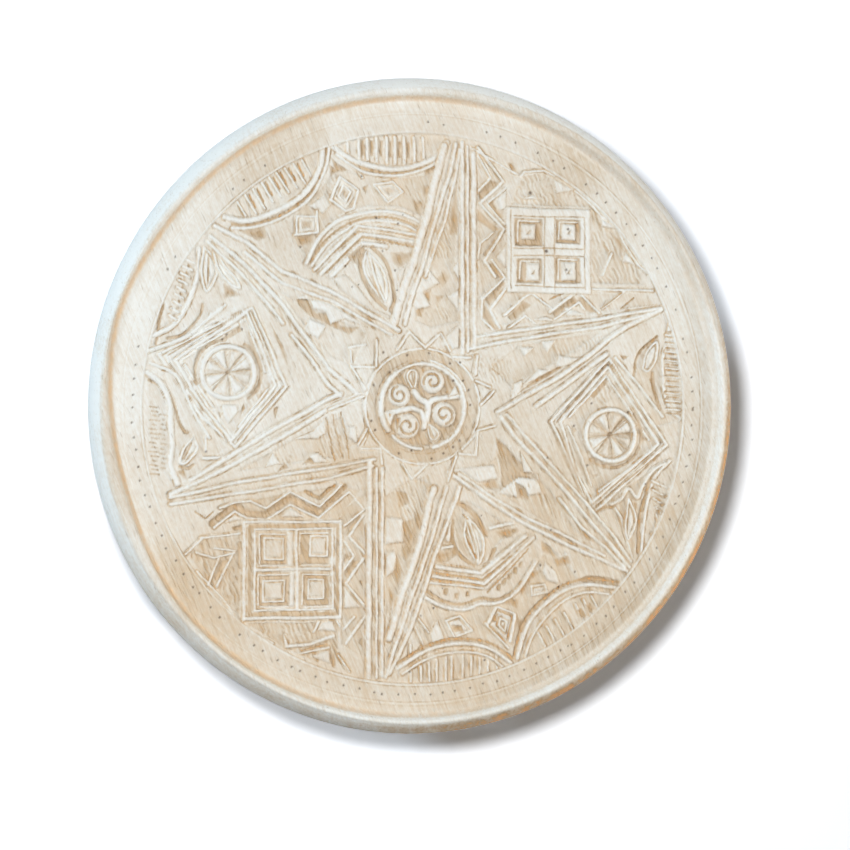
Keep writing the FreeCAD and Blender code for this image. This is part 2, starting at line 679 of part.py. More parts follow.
def make_batten_pegs():
    peg = round_peg("batten_peg", "Sizes.apron_peg", "Sizes.batten_peg_length")
    bottom = value(f"{FRAME_TOP} - Sizes.batten_peg_length")
    places = [
        Placement(Vector(x * value(LEG), y * value(BATTEN_PLACE), bottom), Rotation())
        for x in (-1, 1)
        for y in (-1, 1)
    ]
    group("batten_pegs", peg, places)


# Legs: square blanks, turned between the blocks and mortised
def make_leg(corner, x, y, turn):
    body = new_body(f"leg_{corner}")
    half = "Sizes.leg_block / 2"
    blank = new_sketch(body, f"blank_{corner}", "XY_Plane")
    rectangle(blank, f"-{half}", f"-{half}", half, half)
    pad(body, blank, FRAME_TOP)
    spun(body, foot_sketch(body, corner), "PartDesign::Groove")
    spun(body, vase_sketch(body, corner), "PartDesign::Groove")
    tenons = (
        ("apron", APRON_TENON_BOTTOM, APRON_TENON_TOP),
        ("stretcher", f"{STRETCHER} - {STRETCHER_TENON}", f"{STRETCHER} + {STRETCHER_TENON}"),
    )
    cheek = "(Sizes.tenon_thickness / 2 + Sizes.fit_gap)"
    depth = f"({TENON_END} - Sizes.fit_gap)"
    for name, bottom, top in tenons:
        low, high = f"{bottom} - Sizes.fit_gap", f"{top} + Sizes.fit_gap"
        right = new_sketch(body, f"{name}_mortise_x_{corner}", "YZ_Plane", depth)
        rectangle(right, f"-{cheek}", low, cheek, high)
        cut(body, right, reverse=True)
        rear = new_sketch(body, f"{name}_mortise_y_{corner}", "XZ_Plane", f"-{depth}")
        rectangle(rear, f"-{cheek}", low, cheek, high)
        cut(body, rear)
    peg_depth = f"({PEG_END} + Sizes.fit_gap)"
    along_y = new_sketch(body, f"pegs_y_{corner}", "XZ_Plane", f"-{peg_depth}")
    along_x = new_sketch(body, f"pegs_x_{corner}", "YZ_Plane", peg_depth)
    for diameter, end, level in peg_levels():
        sketch = along_y if end == 0 else along_x
        circle(sketch, PEG_PLACE, level, f"{diameter} / 2 + Sizes.fit_gap")
    cut(body, along_y, reverse=True)
    cut(body, along_x)
    stand(body, x, y, turn)
    return finish(body, f"leg_{corner}")


def peg_levels():
    """Diameter, end of the rail (0 its left end, 1 its right end) and height of every peg."""
    levels = []
    for end in (0, 1):
        first = f"({APRON_TENON_BOTTOM} + Sizes.peg_low + {end} * Sizes.peg_stagger)"
        levels.append(("Sizes.apron_peg", end, first))
        levels.append(("Sizes.apron_peg", end, f"({first} + Sizes.peg_pitch)"))
        stagger = f"({end} - 0.5) * Sizes.stretcher_stagger"
        levels.append(("Sizes.stretcher_peg", end, f"({STRETCHER} + {stagger})"))
    return levels


def foot_sketch(body, corner):
    """Wood that the lathe takes away under the lower block."""
    drawing = new_sketch(body, f"foot_{corner}", "XZ_Plane")
    outline(drawing, [
        ("Sizes.leg_block", "0"),
        ("Sizes.leg_block", "Sizes.foot_height"),
        ("Sizes.leg_block * sqrt(2) / 2", "Sizes.foot_height"),
        ("Sizes.neck_radius", "Sizes.foot_height - Sizes.pommel"),
        ("Sizes.neck_radius", "Sizes.foot_height - Sizes.pommel - Sizes.neck_height",
         "Sizes.foot_round", BULGE_LEFT),
        ("Sizes.foot_radius", "0"),
    ])
    return drawing


def vase_sketch(body, corner):
    """Wood that the lathe takes away between the two blocks."""
    drawing = new_sketch(body, f"vase_{corner}", "XZ_Plane")
    low = "(Sizes.foot_height + Sizes.stretcher_block)"
    high = f"({APRON_BOTTOM} - Sizes.block_margin)"
    bead_low = f"({low} + Sizes.pommel + Sizes.neck_height)"
    vase_low = f"({bead_low} + Sizes.bead_height)"
    belly = f"({vase_low} + Sizes.belly_rise)"
    bead_high = f"({high} - Sizes.pommel - Sizes.neck_height)"
    vase_high = f"({bead_high} - Sizes.bead_height)"
    bow = "(Sizes.belly_radius - Sizes.neck_radius)"
    lower_round = f"(({bow}^2 + Sizes.belly_rise^2) / (2 * {bow}))"
    half_taper = "((Sizes.belly_radius - Sizes.slim_radius) / 2)"
    half_rise = f"(({vase_high} - {belly}) / 2)"
    upper_round = f"(({half_taper}^2 + {half_rise}^2) / (2 * {half_taper}))"
    outline(drawing, [
        ("Sizes.leg_block", low),
        ("Sizes.leg_block", high),
        ("Sizes.leg_block * sqrt(2) / 2", high),
        ("Sizes.neck_radius", f"{high} - Sizes.pommel"),
        ("Sizes.neck_radius", bead_high),
        ("Sizes.collar_radius", bead_high, "Sizes.bead_round", BULGE_LEFT),
        ("Sizes.collar_radius", vase_high),
        ("Sizes.slim_radius", vase_high, upper_round, BULGE_RIGHT),
        (f"Sizes.slim_radius + {half_taper}", f"{belly} + {half_rise}", upper_round, BULGE_LEFT),
        ("Sizes.belly_radius", belly, lower_round, BULGE_LEFT),
        ("Sizes.neck_radius", vase_low),
        ("Sizes.collar_radius", vase_low, "Sizes.bead_round", BULGE_LEFT),
        ("Sizes.collar_radius", bead_low),
        ("Sizes.neck_radius", bead_low),
        ("Sizes.neck_radius", f"{low} + Sizes.pommel"),
        ("Sizes.leg_block * sqrt(2) / 2", low),
    ])
    return drawing


def make_pegs(legs):
    """Pegs from the outer faces of the legs, through the tenons."""
    face = value("Sizes.leg_block / 2 + Sizes.peg_proud")
    place = value(PEG_PLACE)
    along_y = Rotation(Vector(1, 0, 0), -90)
    along_x = Rotation(Vector(0, 1, 0), 90)
    for label, diameter in (("apron_pegs", "Sizes.apron_peg"), ("stretcher_pegs", "Sizes.stretcher_peg")):
        peg = round_peg(f"{label}_pattern", diameter, "Sizes.peg_length")
        places = []
        for leg in legs:
            for size, end, level in peg_levels():
                if size != diameter:
                    continue
                z = value(level)
                start = Vector(place, -face, z) if end == 0 else Vector(-face, place, z)
                local = Placement(start, along_y if end == 0 else along_x)
                places.append(leg.Placement.multiply(local))
        group(label, peg, places)


# Aprons and stretchers, made along X and turned to their sides
def add_tenons(body, name, bottom, top):
    """Tenons on both ends, with the holes for their pegs still to be bored."""
    drawing = new_sketch(body, f"{name}_tenons", "XZ_Plane")
    end = f"({RAIL} / 2 + Sizes.tenon_length)"
    rectangle(drawing, f"-{end}", bottom, f"-{RAIL} / 2", top)
    rectangle(drawing, f"{RAIL} / 2", bottom, end, top)
    pad(body, drawing, "Sizes.tenon_thickness", symmetric=True)


def bore_pegs(body, name, diameter):
    drawing = new_sketch(body, f"{name}_peg_holes", "XZ_Plane")
    for size, end, level in peg_levels():
        if size == diameter:
            sign = "-" if end == 0 else ""
            circle(drawing, f"{sign}({RAIL} / 2 + Sizes.peg_inset)", level, f"{diameter} / 2 + Sizes.fit_gap")
    cut(body, drawing, symmetric=True)


def make_apron(side, x, y, turn):
    name = f"apron_{side}"
    body = new_body(name)
    end = f"({RAIL} / 2)"
    arch = f"({RAIL} / 2 - Sizes.arch_end)"
    arch_foot = f"({APRON_BOTTOM} + Sizes.arch_step)"
    arch_round = f"(({arch}^2 + Sizes.arch_rise^2) / (2 * Sizes.arch_rise))"
    face = new_sketch(body, f"{name}_face", "XZ_Plane")
    outline(face, [
        (f"-{end}", APRON_BOTTOM),
        (f"-{arch}", APRON_BOTTOM),
        (f"-{arch}", arch_foot, arch_round, BULGE_LEFT),
        (arch, arch_foot),
        (arch, APRON_BOTTOM),
        (end, APRON_BOTTOM),
        (end, FRAME_TOP),
        (f"-{end}", FRAME_TOP),
    ])
    pad(body, face, "Sizes.apron_thickness", symmetric=True)
    add_tenons(body, name, APRON_TENON_BOTTOM, APRON_TENON_TOP)
    bore_pegs(body, name, "Sizes.apron_peg")
    if side in ("left", "right"):
        notch_for_battens(body, name)
    stand(body, x, y, turn)
    finish(body, name)


def notch_for_battens(body, name):
    """Notches in the upper edge, with the lower halves of the batten pegs' holes under them."""
    half = "Sizes.batten_width / 2"
    notches = new_sketch(body, f"{name}_notches", "XZ_Plane")
    holes = new_sketch(body, f"{name}_batten_pegs", "XY_Plane", BATTEN_BOTTOM)
    for sign in ("-", ""):
        middle = f"{sign}{BATTEN_PLACE}"
        outline(notches, [
            (f"{middle} - {half} + Sizes.batten_bevel", BATTEN_BOTTOM),
            (f"{middle} + {half} - Sizes.batten_bevel", BATTEN_BOTTOM),
            (f"{middle} + {half}", f"{BATTEN_BOTTOM} + Sizes.batten_bevel"),
            (f"{middle} + {half}", FRAME_TOP),
            (f"{middle} - {half}", FRAME_TOP),
            (f"{middle} - {half}", f"{BATTEN_BOTTOM} + Sizes.batten_bevel"),
        ])
        circle(holes, middle, "0", "Sizes.apron_peg / 2 + Sizes.fit_gap")
    cut(body, notches, symmetric=True)
    cut(body, holes, "Sizes.batten_peg_length - Sizes.batten_height + Sizes.fit_gap")


def make_stretcher(side, x, y, turn):
    name = f"stretcher_{side}"
    body = new_body(name)
    across = "(Sizes.stretcher_thickness / 2)"
    up = "(Sizes.stretcher_height / 2)"
    section = new_sketch(body, f"{name}_section", "YZ_Plane")
    outline(section, [
        (f"-{across} + Sizes.stretcher_bevel", f"{STRETCHER} - {up}"),
        (f"{across} - Sizes.stretcher_bevel", f"{STRETCHER} - {up}"),
        (across, f"{STRETCHER} - {up} + Sizes.stretcher_bevel"),
        (across, f"{STRETCHER} + {up} - Sizes.stretcher_bevel"),
        (f"{across} - Sizes.stretcher_bevel", f"{STRETCHER} + {up}"),
        (f"-{across} + Sizes.stretcher_bevel", f"{STRETCHER} + {up}"),
        (f"-{across}", f"{STRETCHER} + {up} - Sizes.stretcher_bevel"),
        (f"-{across}", f"{STRETCHER} - {up} + Sizes.stretcher_bevel"),
    ])
    pad(body, section, RAIL, symmetric=True)
    add_tenons(body, name, f"{STRETCHER} - {STRETCHER_TENON}", f"{STRETCHER} + {STRETCHER_TENON}")
    bore_pegs(body, name, "Sizes.stretcher_peg")
    stand(body, x, y, turn)
    finish(body, name)


def build_table():
    make_boards(turned_disc())
    make_dowels()
    make_batten("front", "-")
    make_batten("back", "")
    make_screws()
    make_batten_pegs()
    corner_places = ((f"-{LEG}", f"-{LEG}"), (LEG, f"-{LEG}"), (LEG, LEG), (f"-{LEG}", LEG))
    side_places = (("0", f"-{LEG}"), (LEG, "0"), ("0", LEG), (f"-{LEG}", "0"))
    legs = []
    for quarter, (corner, side) in enumerate(zip(CORNERS, SIDES)):
        turn = 90 * quarter
        legs.append(make_leg(corner, *corner_places[quarter], turn))
        make_apron(side, *side_places[quarter], turn)
        make_stretcher(side, *side_places[quarter], turn)
    make_pegs(legs)


def check_and_write():
    """Write one file for each piece, once every object of the model is sound."""
    doc.recompute()
    for thing in doc.Objects:
        if "Invalid" in thing.State or "Error" in thing.State:
            raise RuntimeError(f"{thing.Label} failed: {thing.State}")
    for piece in pieces:
        if piece.Shape.isNull() or not piece.Shape.isValid() or not piece.Shape.Solids:
            raise RuntimeError(f"{piece.Label} has no sound solid")
    os.makedirs("parts", exist_ok=True)
    for piece in pieces:
        piece.Shape.exportStep(os.path.join("parts", f"{piece.Label}.step"))
        print(piece.Label, len(piece.Shape.Solids), round(piece.Shape.Volume / 1000, 1), "cm3")


build_table()
check_and_write()
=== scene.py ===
# %% [markdown]
# A low round table whose top is a turned tray of limed wood, carved all over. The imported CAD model
# is the frame: it gives every board, leg and rail its place, in metres. This lesson dresses that
# frame, one piece at a time.

# %% Load the frame
import math

import bmesh
import bpy
import numpy as np
from mathutils import Matrix, Vector


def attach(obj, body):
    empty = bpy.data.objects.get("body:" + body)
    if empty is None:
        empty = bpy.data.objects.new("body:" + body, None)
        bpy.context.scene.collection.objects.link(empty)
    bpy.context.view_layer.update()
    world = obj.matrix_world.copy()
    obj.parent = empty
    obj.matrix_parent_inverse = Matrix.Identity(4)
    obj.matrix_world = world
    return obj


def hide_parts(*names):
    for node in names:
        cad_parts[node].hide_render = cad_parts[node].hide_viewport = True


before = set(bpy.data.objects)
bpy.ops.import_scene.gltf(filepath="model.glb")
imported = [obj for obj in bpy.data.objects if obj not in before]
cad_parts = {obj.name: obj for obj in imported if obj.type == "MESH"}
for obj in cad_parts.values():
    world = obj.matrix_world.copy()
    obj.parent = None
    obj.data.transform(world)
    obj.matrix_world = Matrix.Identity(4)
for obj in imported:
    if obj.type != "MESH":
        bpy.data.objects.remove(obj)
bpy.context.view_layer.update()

# %% [markdown]
# The photograph looks almost straight down from far off, leaning eleven degrees to the left. The
# carving is easiest to describe as it lies in the picture, so its drawing has its own axes, east and
# north, turned from the boards by 22 degrees. The camera is placed in those axes and turned with them.

# %% Camera
PICTURE = 850
FOCAL_PIXELS = 5631
CAMERA_REACH = 6.0
PATTERN_TURN = math.radians(22)
BAND_LEVEL = 0.390
to_boards = Matrix.Rotation(-PATTERN_TURN, 3, "Z")
lean = to_boards @ Vector((-0.1975, 0.0049, 0.9803)).normalized()
picture_up = to_boards @ Vector((0, 1, 0))
across = picture_up.cross(lean).normalized()
above = lean.cross(across)
camera = bpy.data.objects.new("camera", bpy.data.cameras.new("camera"))
bpy.context.collection.objects.link(camera)
camera.matrix_world = Matrix.Translation(Vector((0, 0, BAND_LEVEL)) + lean * CAMERA_REACH) @ Matrix(
    (across, above, lean)).transposed().to_4x4()
camera.data.lens = FOCAL_PIXELS / PICTURE * camera.data.sensor_width
camera.data.shift_x, camera.data.shift_y = 9.9 / PICTURE, -18.9 / PICTURE
camera.data.clip_end = 50
bpy.context.scene.camera = camera
print("camera at", [round(v, 3) for v in camera.location], "lens", round(camera.data.lens, 1))

# %% [markdown]
# The light is that of windows on the left and pale walls on the right. One lamp stands high on the
# left, far enough off to give the floor one soft, narrow shadow. A cool, low sun gives every rib a
# bright side and a shaded side, and a warm spot on the right colours the shade. Two more spots stand
# lower than the top and shine upwards past it: they light only the outer wall of the lip and leave the
# shadow on the floor dark. Together the lamps light a level surface to about 1, so that a colour
# renders about as it is written.

# %% Lamps
scene = bpy.context.scene
scene.view_settings.view_transform = "Standard"


def add_lamp(name, kind, place, aim, power, colour, **settings):
    """Lamp at a place in picture axes, turned to what it lights."""
    lamp = bpy.data.objects.new(name, bpy.data.lights.new(name, kind))
    bpy.context.collection.objects.link(lamp)
    place, aim = to_boards @ Vector(place), to_boards @ Vector(aim)
    lamp.location = place
    lamp.rotation_euler = (aim - place).to_track_quat("-Z", "Y").to_euler()
    lamp.data.energy, lamp.data.color = power, colour
    for key, value in settings.items():
        setattr(lamp.data, key, value)


TOP_MIDDLE = (0, 0, 0.39)
add_lamp("window_high", "AREA", (-0.935, 0.152, 4.5), TOP_MIDDLE, 128, (1.0, 0.99, 0.97),
         shape="DISK", size=0.26)
add_lamp("window_low", "SUN", (-1.25, 0.75, 1.39), TOP_MIDDLE, 0.95, (0.82, 0.92, 1.0), angle=0.15)
add_lamp("wall_right", "SPOT", (1.65, -0.55, 0.88), (0.04, 0, 0.42), 62, (1.0, 0.90, 0.79),
         shadow_soft_size=0.3, spot_size=math.radians(36), spot_blend=0.5)
add_lamp("window_sill", "SPOT", (-1.5, 0.6, 0.30), (0, 0, 0.69), 17, (0.38, 0.72, 1.0),
         shadow_soft_size=0.1, spot_size=math.radians(36), spot_blend=0.3)
add_lamp("wall_far", "SPOT", (0.75, 1.6, 0.36), (0, 0, 0.88), 26, (1.0, 0.96, 0.90),
         shadow_soft_size=0.1, spot_size=math.radians(40), spot_blend=0.3)

# %% [markdown]
# The room itself is dim, so that the lamps alone shape the carving, but what the camera sees of it is
# white. A brighter world would do that too and wash the shadows out. Light Path tells the rays apart:
# those that come from the camera, or by way of gloss or glass, find a strength of 1.

# %% Room
ROOM_LIGHT, ROOM_SEEN = 0.03, 1.0
world = bpy.data.worlds.new("room")
scene.world = world
world.use_nodes = True
sky = world.node_tree
sky.nodes["Background"].inputs["Color"].default_value = (1.0, 1.0, 1.0, 1)
seen = sky.nodes.new("ShaderNodeLightPath")
glossy_too, all_three = sky.nodes.new("ShaderNodeMath"), sky.nodes.new("ShaderNodeMath")
sky.links.new(seen.outputs["Is Camera Ray"], glossy_too.inputs[0])
sky.links.new(seen.outputs["Is Glossy Ray"], glossy_too.inputs[1])
sky.links.new(glossy_too.outputs[0], all_three.inputs[0])
sky.links.new(seen.outputs["Is Transmission Ray"], all_three.inputs[1])
brightness = sky.nodes.new("ShaderNodeMapRange")
brightness.inputs["To Min"].default_value = ROOM_LIGHT
brightness.inputs["To Max"].default_value = ROOM_SEEN
sky.links.new(all_three.outputs[0], brightness.inputs["Value"])
sky.links.new(brightness.outputs["Result"], sky.nodes["Background"].inputs["Strength"])
print("room:", len(sky.nodes), "nodes")

# %% [markdown]
# Node materials are made of many small nodes. One helper starts a material, and another adds a node,
# sets its fields and joins its sockets in one line, so a finish reads from top to bottom.

# %% Node helpers
def new_finish(name):
    """Material with nodes, its node tree and its shader."""
    finish = bpy.data.materials.new(name)
    finish.use_nodes = True
    return finish, finish.node_tree, finish.node_tree.nodes["Principled BSDF"]


def add(tree, kind, sockets=None, **settings):
    """Node of a kind. A socket takes a number, a colour or another node's output."""
    node = tree.nodes.new("ShaderNode" + kind)
    for key, value in settings.items():
        setattr(node, key, value)
    for socket, value in (sockets or {}).items():
        if isinstance(value, bpy.types.NodeSocket):
            tree.links.new(value, node.inputs[socket])
        else:
            node.inputs[socket].default_value = value
    return node


print("node helpers ready")

# %% [markdown]
# Three kinds of node come back in every finish: a ramp that turns an amount into a colour, a weighted
# sum of several amounts, and noise that is longer along the grain than across it.

# %% Ramps, sums and noise
def ramp(tree, amount, stops):
    """Colours, or greys, along an amount from 0 to 1."""
    node = add(tree, "ValToRGB", {"Fac": amount})
    while len(node.color_ramp.elements) < len(stops):
        node.color_ramp.elements.new(1)
    for element, (place, colour) in zip(node.color_ramp.elements, stops):
        element.position = place
        element.color = (*colour, 1) if isinstance(colour, tuple) else (colour, colour, colour, 1)
    return node.outputs["Color"]


def sum_of(tree, *terms):
    """Weighted sum of outputs: (output, weight), or a plain number."""
    total = None
    for part in terms:
        if isinstance(part, tuple):
            part = add(tree, "Math", {0: part[0], 1: part[1]}, operation="MULTIPLY").outputs[0]
        if total is None:
            total = part
        else:
            total = add(tree, "Math", {0: total, 1: part}, operation="ADD").outputs[0]
    return total


def noise_along(tree, place, scale, detail=3.0, roughness=0.55):
    """Noise stretched by a scale for each axis, as wood grain is."""
    space = add(tree, "Mapping", {"Vector": place, "Scale": scale})
    return add(tree, "TexNoise", {"Vector": space.outputs[0], "Scale": 1.0, "Detail": detail,
                                  "Roughness": roughness}).outputs["Fac"]


print("ramps, sums and noise ready")

# %% [markdown]
# The floor is white paper that keeps the table's shadow. What the camera sees of it is brighter than
# what lights the table, so the paper is white without more lamps; a little blue in it makes up for the
# warm lamp, so that the shadow stays grey.

# %% Floor
PAPER_LIT, PAPER_SEEN = (0.84, 0.88, 0.92, 1), (1.74, 1.80, 1.92, 1)
floor_mesh = bpy.data.meshes.new("floor")
sketch = bmesh.new()
bmesh.ops.create_circle(sketch, cap_ends=True, segments=96, radius=2.2)
sketch.to_mesh(floor_mesh)
sketch.free()
floor = bpy.data.objects.new("floor", floor_mesh)
bpy.context.collection.objects.link(floor)
white_floor, tree, shader = new_finish("white_floor")
seen = add(tree, "LightPath")
rays = [seen.outputs[ray] for ray in ("Is Camera Ray", "Is Glossy Ray", "Is Transmission Ray")]
paper = add(tree, "MixRGB", {"Fac": sum_of(tree, *rays), "Color1": PAPER_LIT, "Color2": PAPER_SEEN})
matt = add(tree, "BsdfDiffuse", {"Color": paper.outputs[0]})
tree.links.new(matt.outputs[0], tree.nodes["Material Output"].inputs["Surface"])
floor_mesh.materials.append(white_floor)
print("floor:", len(floor_mesh.polygons), "face")

# %% [markdown]
# The top is turned on a lathe before it is carved, so its section is one line from the middle to the
# underside: flat field, flat band, lip, bulged outer wall, rounded lower edge. The line is kept as
# points (radius, height) in millimetres. A bow between two points makes each rounded part.

# %% Section of the turned top
FIELD, LINE, LIP_FOOT = 294.5, 314.8, 327.5


def bow(start, end, radius, count):
    """Points on an arc that bulges to the left of the way from start to end, without the first."""
    start, end = np.array(start, float), np.array(end, float)
    chord = end - start
    left = np.array((-chord[1], chord[0])) / np.hypot(*chord)
    centre = (start + end) / 2 - left * math.sqrt(radius**2 - chord @ chord / 4)
    first, last = (math.atan2(*(p - centre)[::-1]) for p in (start, end))
    turn = (last - first + math.pi) % (2 * math.pi) - math.pi
    return [tuple(centre + radius * np.array((math.cos(a), math.sin(a))))
            for a in np.linspace(first, first + turn, count + 1)[1:]]


section = [(r, 390.0) for r in np.linspace(0, 299, 250)]
section += [(r, 390.0) for r in np.linspace(299, 326, 22)[1:]]
section += [(327.5, 390.3), (328.7, 391.1), (330.0, 392.4), (331.2, 394.2), (332.4, 396.0),
            (333.4, 397.5)]
section += [(334.2, 398.4)] + bow((334.2, 398.4), (339.3, 398.4), 2.9, 6)
section += bow((339.3, 398.4), (350.0, 379.0), 40, 9)
section += bow((350.0, 379.0), (336.0, 364.0), 24, 5)
section = np.array(section)
RINGS = len(section) - 1
print("section:", RINGS, "rings, highest", section[:, 1].max().round(2),
      "widest", section[:, 0].max().round(2))

# %% [markdown]
# A carved disc needs evenly spread vertices. A square grid has them, and pulling each of its square
# rings out to a circle keeps them: ring number k of the grid becomes ring k of the section. That
# leaves no pole in the middle, where a spun disc would have slivers.

# %% Grid pulled to a disc
disc_mesh = bpy.data.meshes.new("carved_disc")
sketch = bmesh.new()
bmesh.ops.create_grid(sketch, x_segments=2 * RINGS, y_segments=2 * RINGS, size=RINGS)
sketch.to_mesh(disc_mesh)
sketch.free()
spots = np.empty(len(disc_mesh.vertices) * 3)
disc_mesh.vertices.foreach_get("co", spots)
column, row = np.rint(spots.reshape(-1, 3)[:, :2]).T
ring = np.maximum(np.abs(column), np.abs(row)).astype(int)
wide = np.abs(column) >= np.abs(row)
long_side, short_side = np.where(wide, column, row), np.where(wide, row, column)
swing = math.pi / 4 * short_side / np.where(ring == 0, 1, long_side)
angle = np.where(wide, swing, math.pi / 2 - swing) + np.where(long_side < 0, math.pi, 0)
board_x, board_y = section[ring, 0] * np.cos(angle), section[ring, 0] * np.sin(angle)
true_east = math.cos(PATTERN_TURN) * board_x - math.sin(PATTERN_TURN) * board_y
true_north = math.sin(PATTERN_TURN) * board_x + math.cos(PATTERN_TURN) * board_y
print("disc:", len(disc_mesh.vertices), "vertices,", len(disc_mesh.polygons), "faces")

# %% [markdown]
# The strokes were measured on the picture with a ruler, where far things look smaller. Four sums
# bring the ruler's numbers square: every vertex gets the place that the ruler would read for it. Then
# small waves move those places, so that no stroke below comes out straighter than a hand cuts it.

# %% From the ruler to the disc
def ruler(x, y):
    """What the ruler reads at a true place."""
    reach = 1 - 7.18e-5 * x - 4.21e-5 * y
    return (0.9975 * x - 8.8) / reach, (0.0136 * x + 1.0037 * y + 0.2) / reach


east, north = ruler(true_east, true_north)
sway_east = 0.3 * np.sin(0.11 * north + 0.05 * east) + 0.1 * np.sin(0.53 * north - 0.22 * east + 2)
sway_north = 0.3 * np.sin(0.10 * east - 0.06 * north + 1) + 0.1 * np.sin(0.57 * east + 0.23 * north)
east, north = east + sway_east, north + sway_north
RING_LOW = 2.7
ring_radius = np.hypot(true_east, true_north + RING_LOW)
print("ruler reads the middle of the disc as", east[ring == 0].round(2), north[ring == 0].round(2))

# %% [markdown]
# A hand leaves nothing even: a rib swells and thins, its wash is thicker here and thinner there.
# Random numbers on the grid, sanded until neighbours agree, give such slow changes. The seed is
# fixed, so every run carves the same table.

# %% Unevenness
order = np.lexsort((column, row))
side = 2 * RINGS + 1


def sanded(values, rounds):
    """Average each vertex of the grid with its four neighbours."""
    grid = values[order].reshape(side, side)
    for _ in range(rounds):
        wide_grid = np.pad(grid, 1, mode="edge")
        grid = (4 * grid + wide_grid[:-2, 1:-1] + wide_grid[2:, 1:-1]
                + wide_grid[1:-1, :-2] + wide_grid[1:-1, 2:]) / 8
    smooth = np.empty_like(values)
    smooth[order] = grid.ravel()
    return smooth


hand = np.random.default_rng(5)
uneven = sanded(hand.normal(0, 1, len(east)), 40)
uneven = np.clip(uneven / (1.6 * uneven.std()), -1, 1)
ragged = sanded(hand.normal(0, 1, len(east)), 3)
ragged = np.clip(ragged / (1.6 * ragged.std()), -1, 1)
print("unevenness from", uneven.min().round(2), "to", uneven.max().round(2))

# %% [markdown]
# The carving is a height for each vertex, in millimetres from the band, and two more numbers: how bare
# the wood is, 0 where the limewash is thick and white, 1 where the knife left bare wood, and pit, 1 in
# dark holes. The bare number later also carries painted shade on the lip and a painted darkening
# towards the lower right.
# A stroke is a line or a closed outline through measured points. A tool first picks the vertices near
# its stroke, so that hundreds of strokes stay quick, and then measures how far each lies from it.

# %% Heights, wash and distances
FLAT = -1.2
BASE_WASH = 0.26
height = np.where(ring_radius < FIELD, FLAT, 0.0)
bare_and_shade = np.full(len(east), BASE_WASH)
pit = np.zeros(len(east))


def near(points, pad):
    """Vertices in the box round a stroke."""
    low, high = np.min(points, axis=0) - pad, np.max(points, axis=0) + pad
    return np.flatnonzero((east > low[0]) & (east < high[0]) & (north > low[1]) & (north < high[1]))


def away(at, points):
    """Distance of vertices from a line through points."""
    x, y, best = east[at], north[at], np.full(len(at), 1e9)
    for (ax, ay), (bx, by) in zip(points[:-1], points[1:]):
        dx, dy = bx - ax, by - ay
        t = np.clip(((x - ax) * dx + (y - ay) * dy) / max(dx * dx + dy * dy, 1e-9), 0, 1)
        best = np.minimum(best, np.hypot(x - ax - t * dx, y - ay - t * dy))
    return best


def inside(at, points):
    """Which vertices lie in a closed outline."""
    x, y, hit = east[at], north[at], np.zeros(len(at), bool)
    for (ax, ay), (bx, by) in zip(points, points[1:] + points[:1]):
        if ay != by:
            hit ^= ((ay > y) != (by > y)) & (x < (bx - ax) * (y - ay) / (by - ay) + ax)
    return hit


def inset(at, points):
    """Distance in from the edge of an outline, 0 outside it."""
    return np.where(inside(at, points), away(at, points + points[:1]), 0)


print("field of", int((height < 0).sum()), "vertices")

# %% [markdown]
# A gouge leaves a round groove with bare wood in it. A rib is the opposite: the carver cuts along both
# of its feet and lets it stand. Ribs could be strips of mesh laid on the disc, but heights on one grid
# let strokes cross and join as they do in wood. All feet of a group are cut before its ribs stand, so
# that one rib's cut can't run through its neighbour.

# %% Gouge and ribs
def groove(width, depth, colour, *lines):
    """Cut along lines with a round gouge."""
    for points in lines:
        at = near(points, width)
        cut = np.clip(1 - away(at, points) / (width / 2), 0, 1)
        height[at] -= depth * cut**0.8
        bare_and_shade[at] = np.maximum(bare_and_shade[at], colour * np.minimum(1, cut * 2.2))


def ribs(*strokes, top=0.0, flank=1.5):
    """Leave ribs with a narrow crest: first cut along both feet of each, then let the ribs stand."""
    for width, points in strokes:
        at = near(points, width / 2 + 3.5)
        cut = np.clip(1 - np.abs(away(at, points) - width / 2 - 0.7) / 1.8, 0, 1)
        cut = cut * (0.85 + 0.15 * uneven[at])
        height[at] = np.where(cut > 0, np.minimum(height[at], FLAT - flank * cut), height[at])
        bare_and_shade[at] = np.maximum(bare_and_shade[at], (0.62 + 0.2 * uneven[at] + 0.1 * ragged[at]) * cut)
    for width, points in strokes:
        at = near(points, width / 2 + 2)
        t = away(at, points) / (width / 2 * (1.1 + 0.1 * uneven[at]))
        crest = top - 0.15 + 0.15 * uneven[at] - 1.4 * t**1.6
        height[at] = np.where(t < 1, np.maximum(height[at], crest), height[at])
        wash = 0.03 + 0.06 * ragged[at] + 0.42 * t**2
        bare_and_shade[at] = np.where(t < 1, np.minimum(bare_and_shade[at], wash), bare_and_shade[at])


print("gouge and ribs ready")

# %% [markdown]
# A ground is an area taken down to one level. A chip is lifted out with a few strokes of the knife, so
# it is deepest in its middle. A plate is left standing, with a cut round its foot. The slope is how
# far in from its outline an area reaches its full height.

# %% Grounds, chips and plates
def sink(depth, colour, *areas, slope=1.6):
    """Take the ground of an area down to a level."""
    for points in areas:
        at = near(points, 0.5)
        f = np.clip(inset(at, points) / slope, 0, 1)
        height[at] = np.minimum(height[at], height[at] * (1 - f) - depth * f)
        bare_and_shade[at] = np.where(f > 0, np.maximum(bare_and_shade[at], colour * (0.3 + 0.38 * f)), bare_and_shade[at])


def chip(depth, colour, *areas):
    """Lift out a chip: deepest in the middle of its outline."""
    for points in areas:
        at = near(points, 0.5)
        d = inset(at, points)
        f = d / max(d.max(initial=0), 0.5)
        height[at] = np.where(d > 0, np.minimum(height[at], FLAT - (depth + FLAT) * f), height[at])
        bare_and_shade[at] = np.where(d > 0, np.maximum(bare_and_shade[at], colour * (0.42 + 0.4 * f)), bare_and_shade[at])


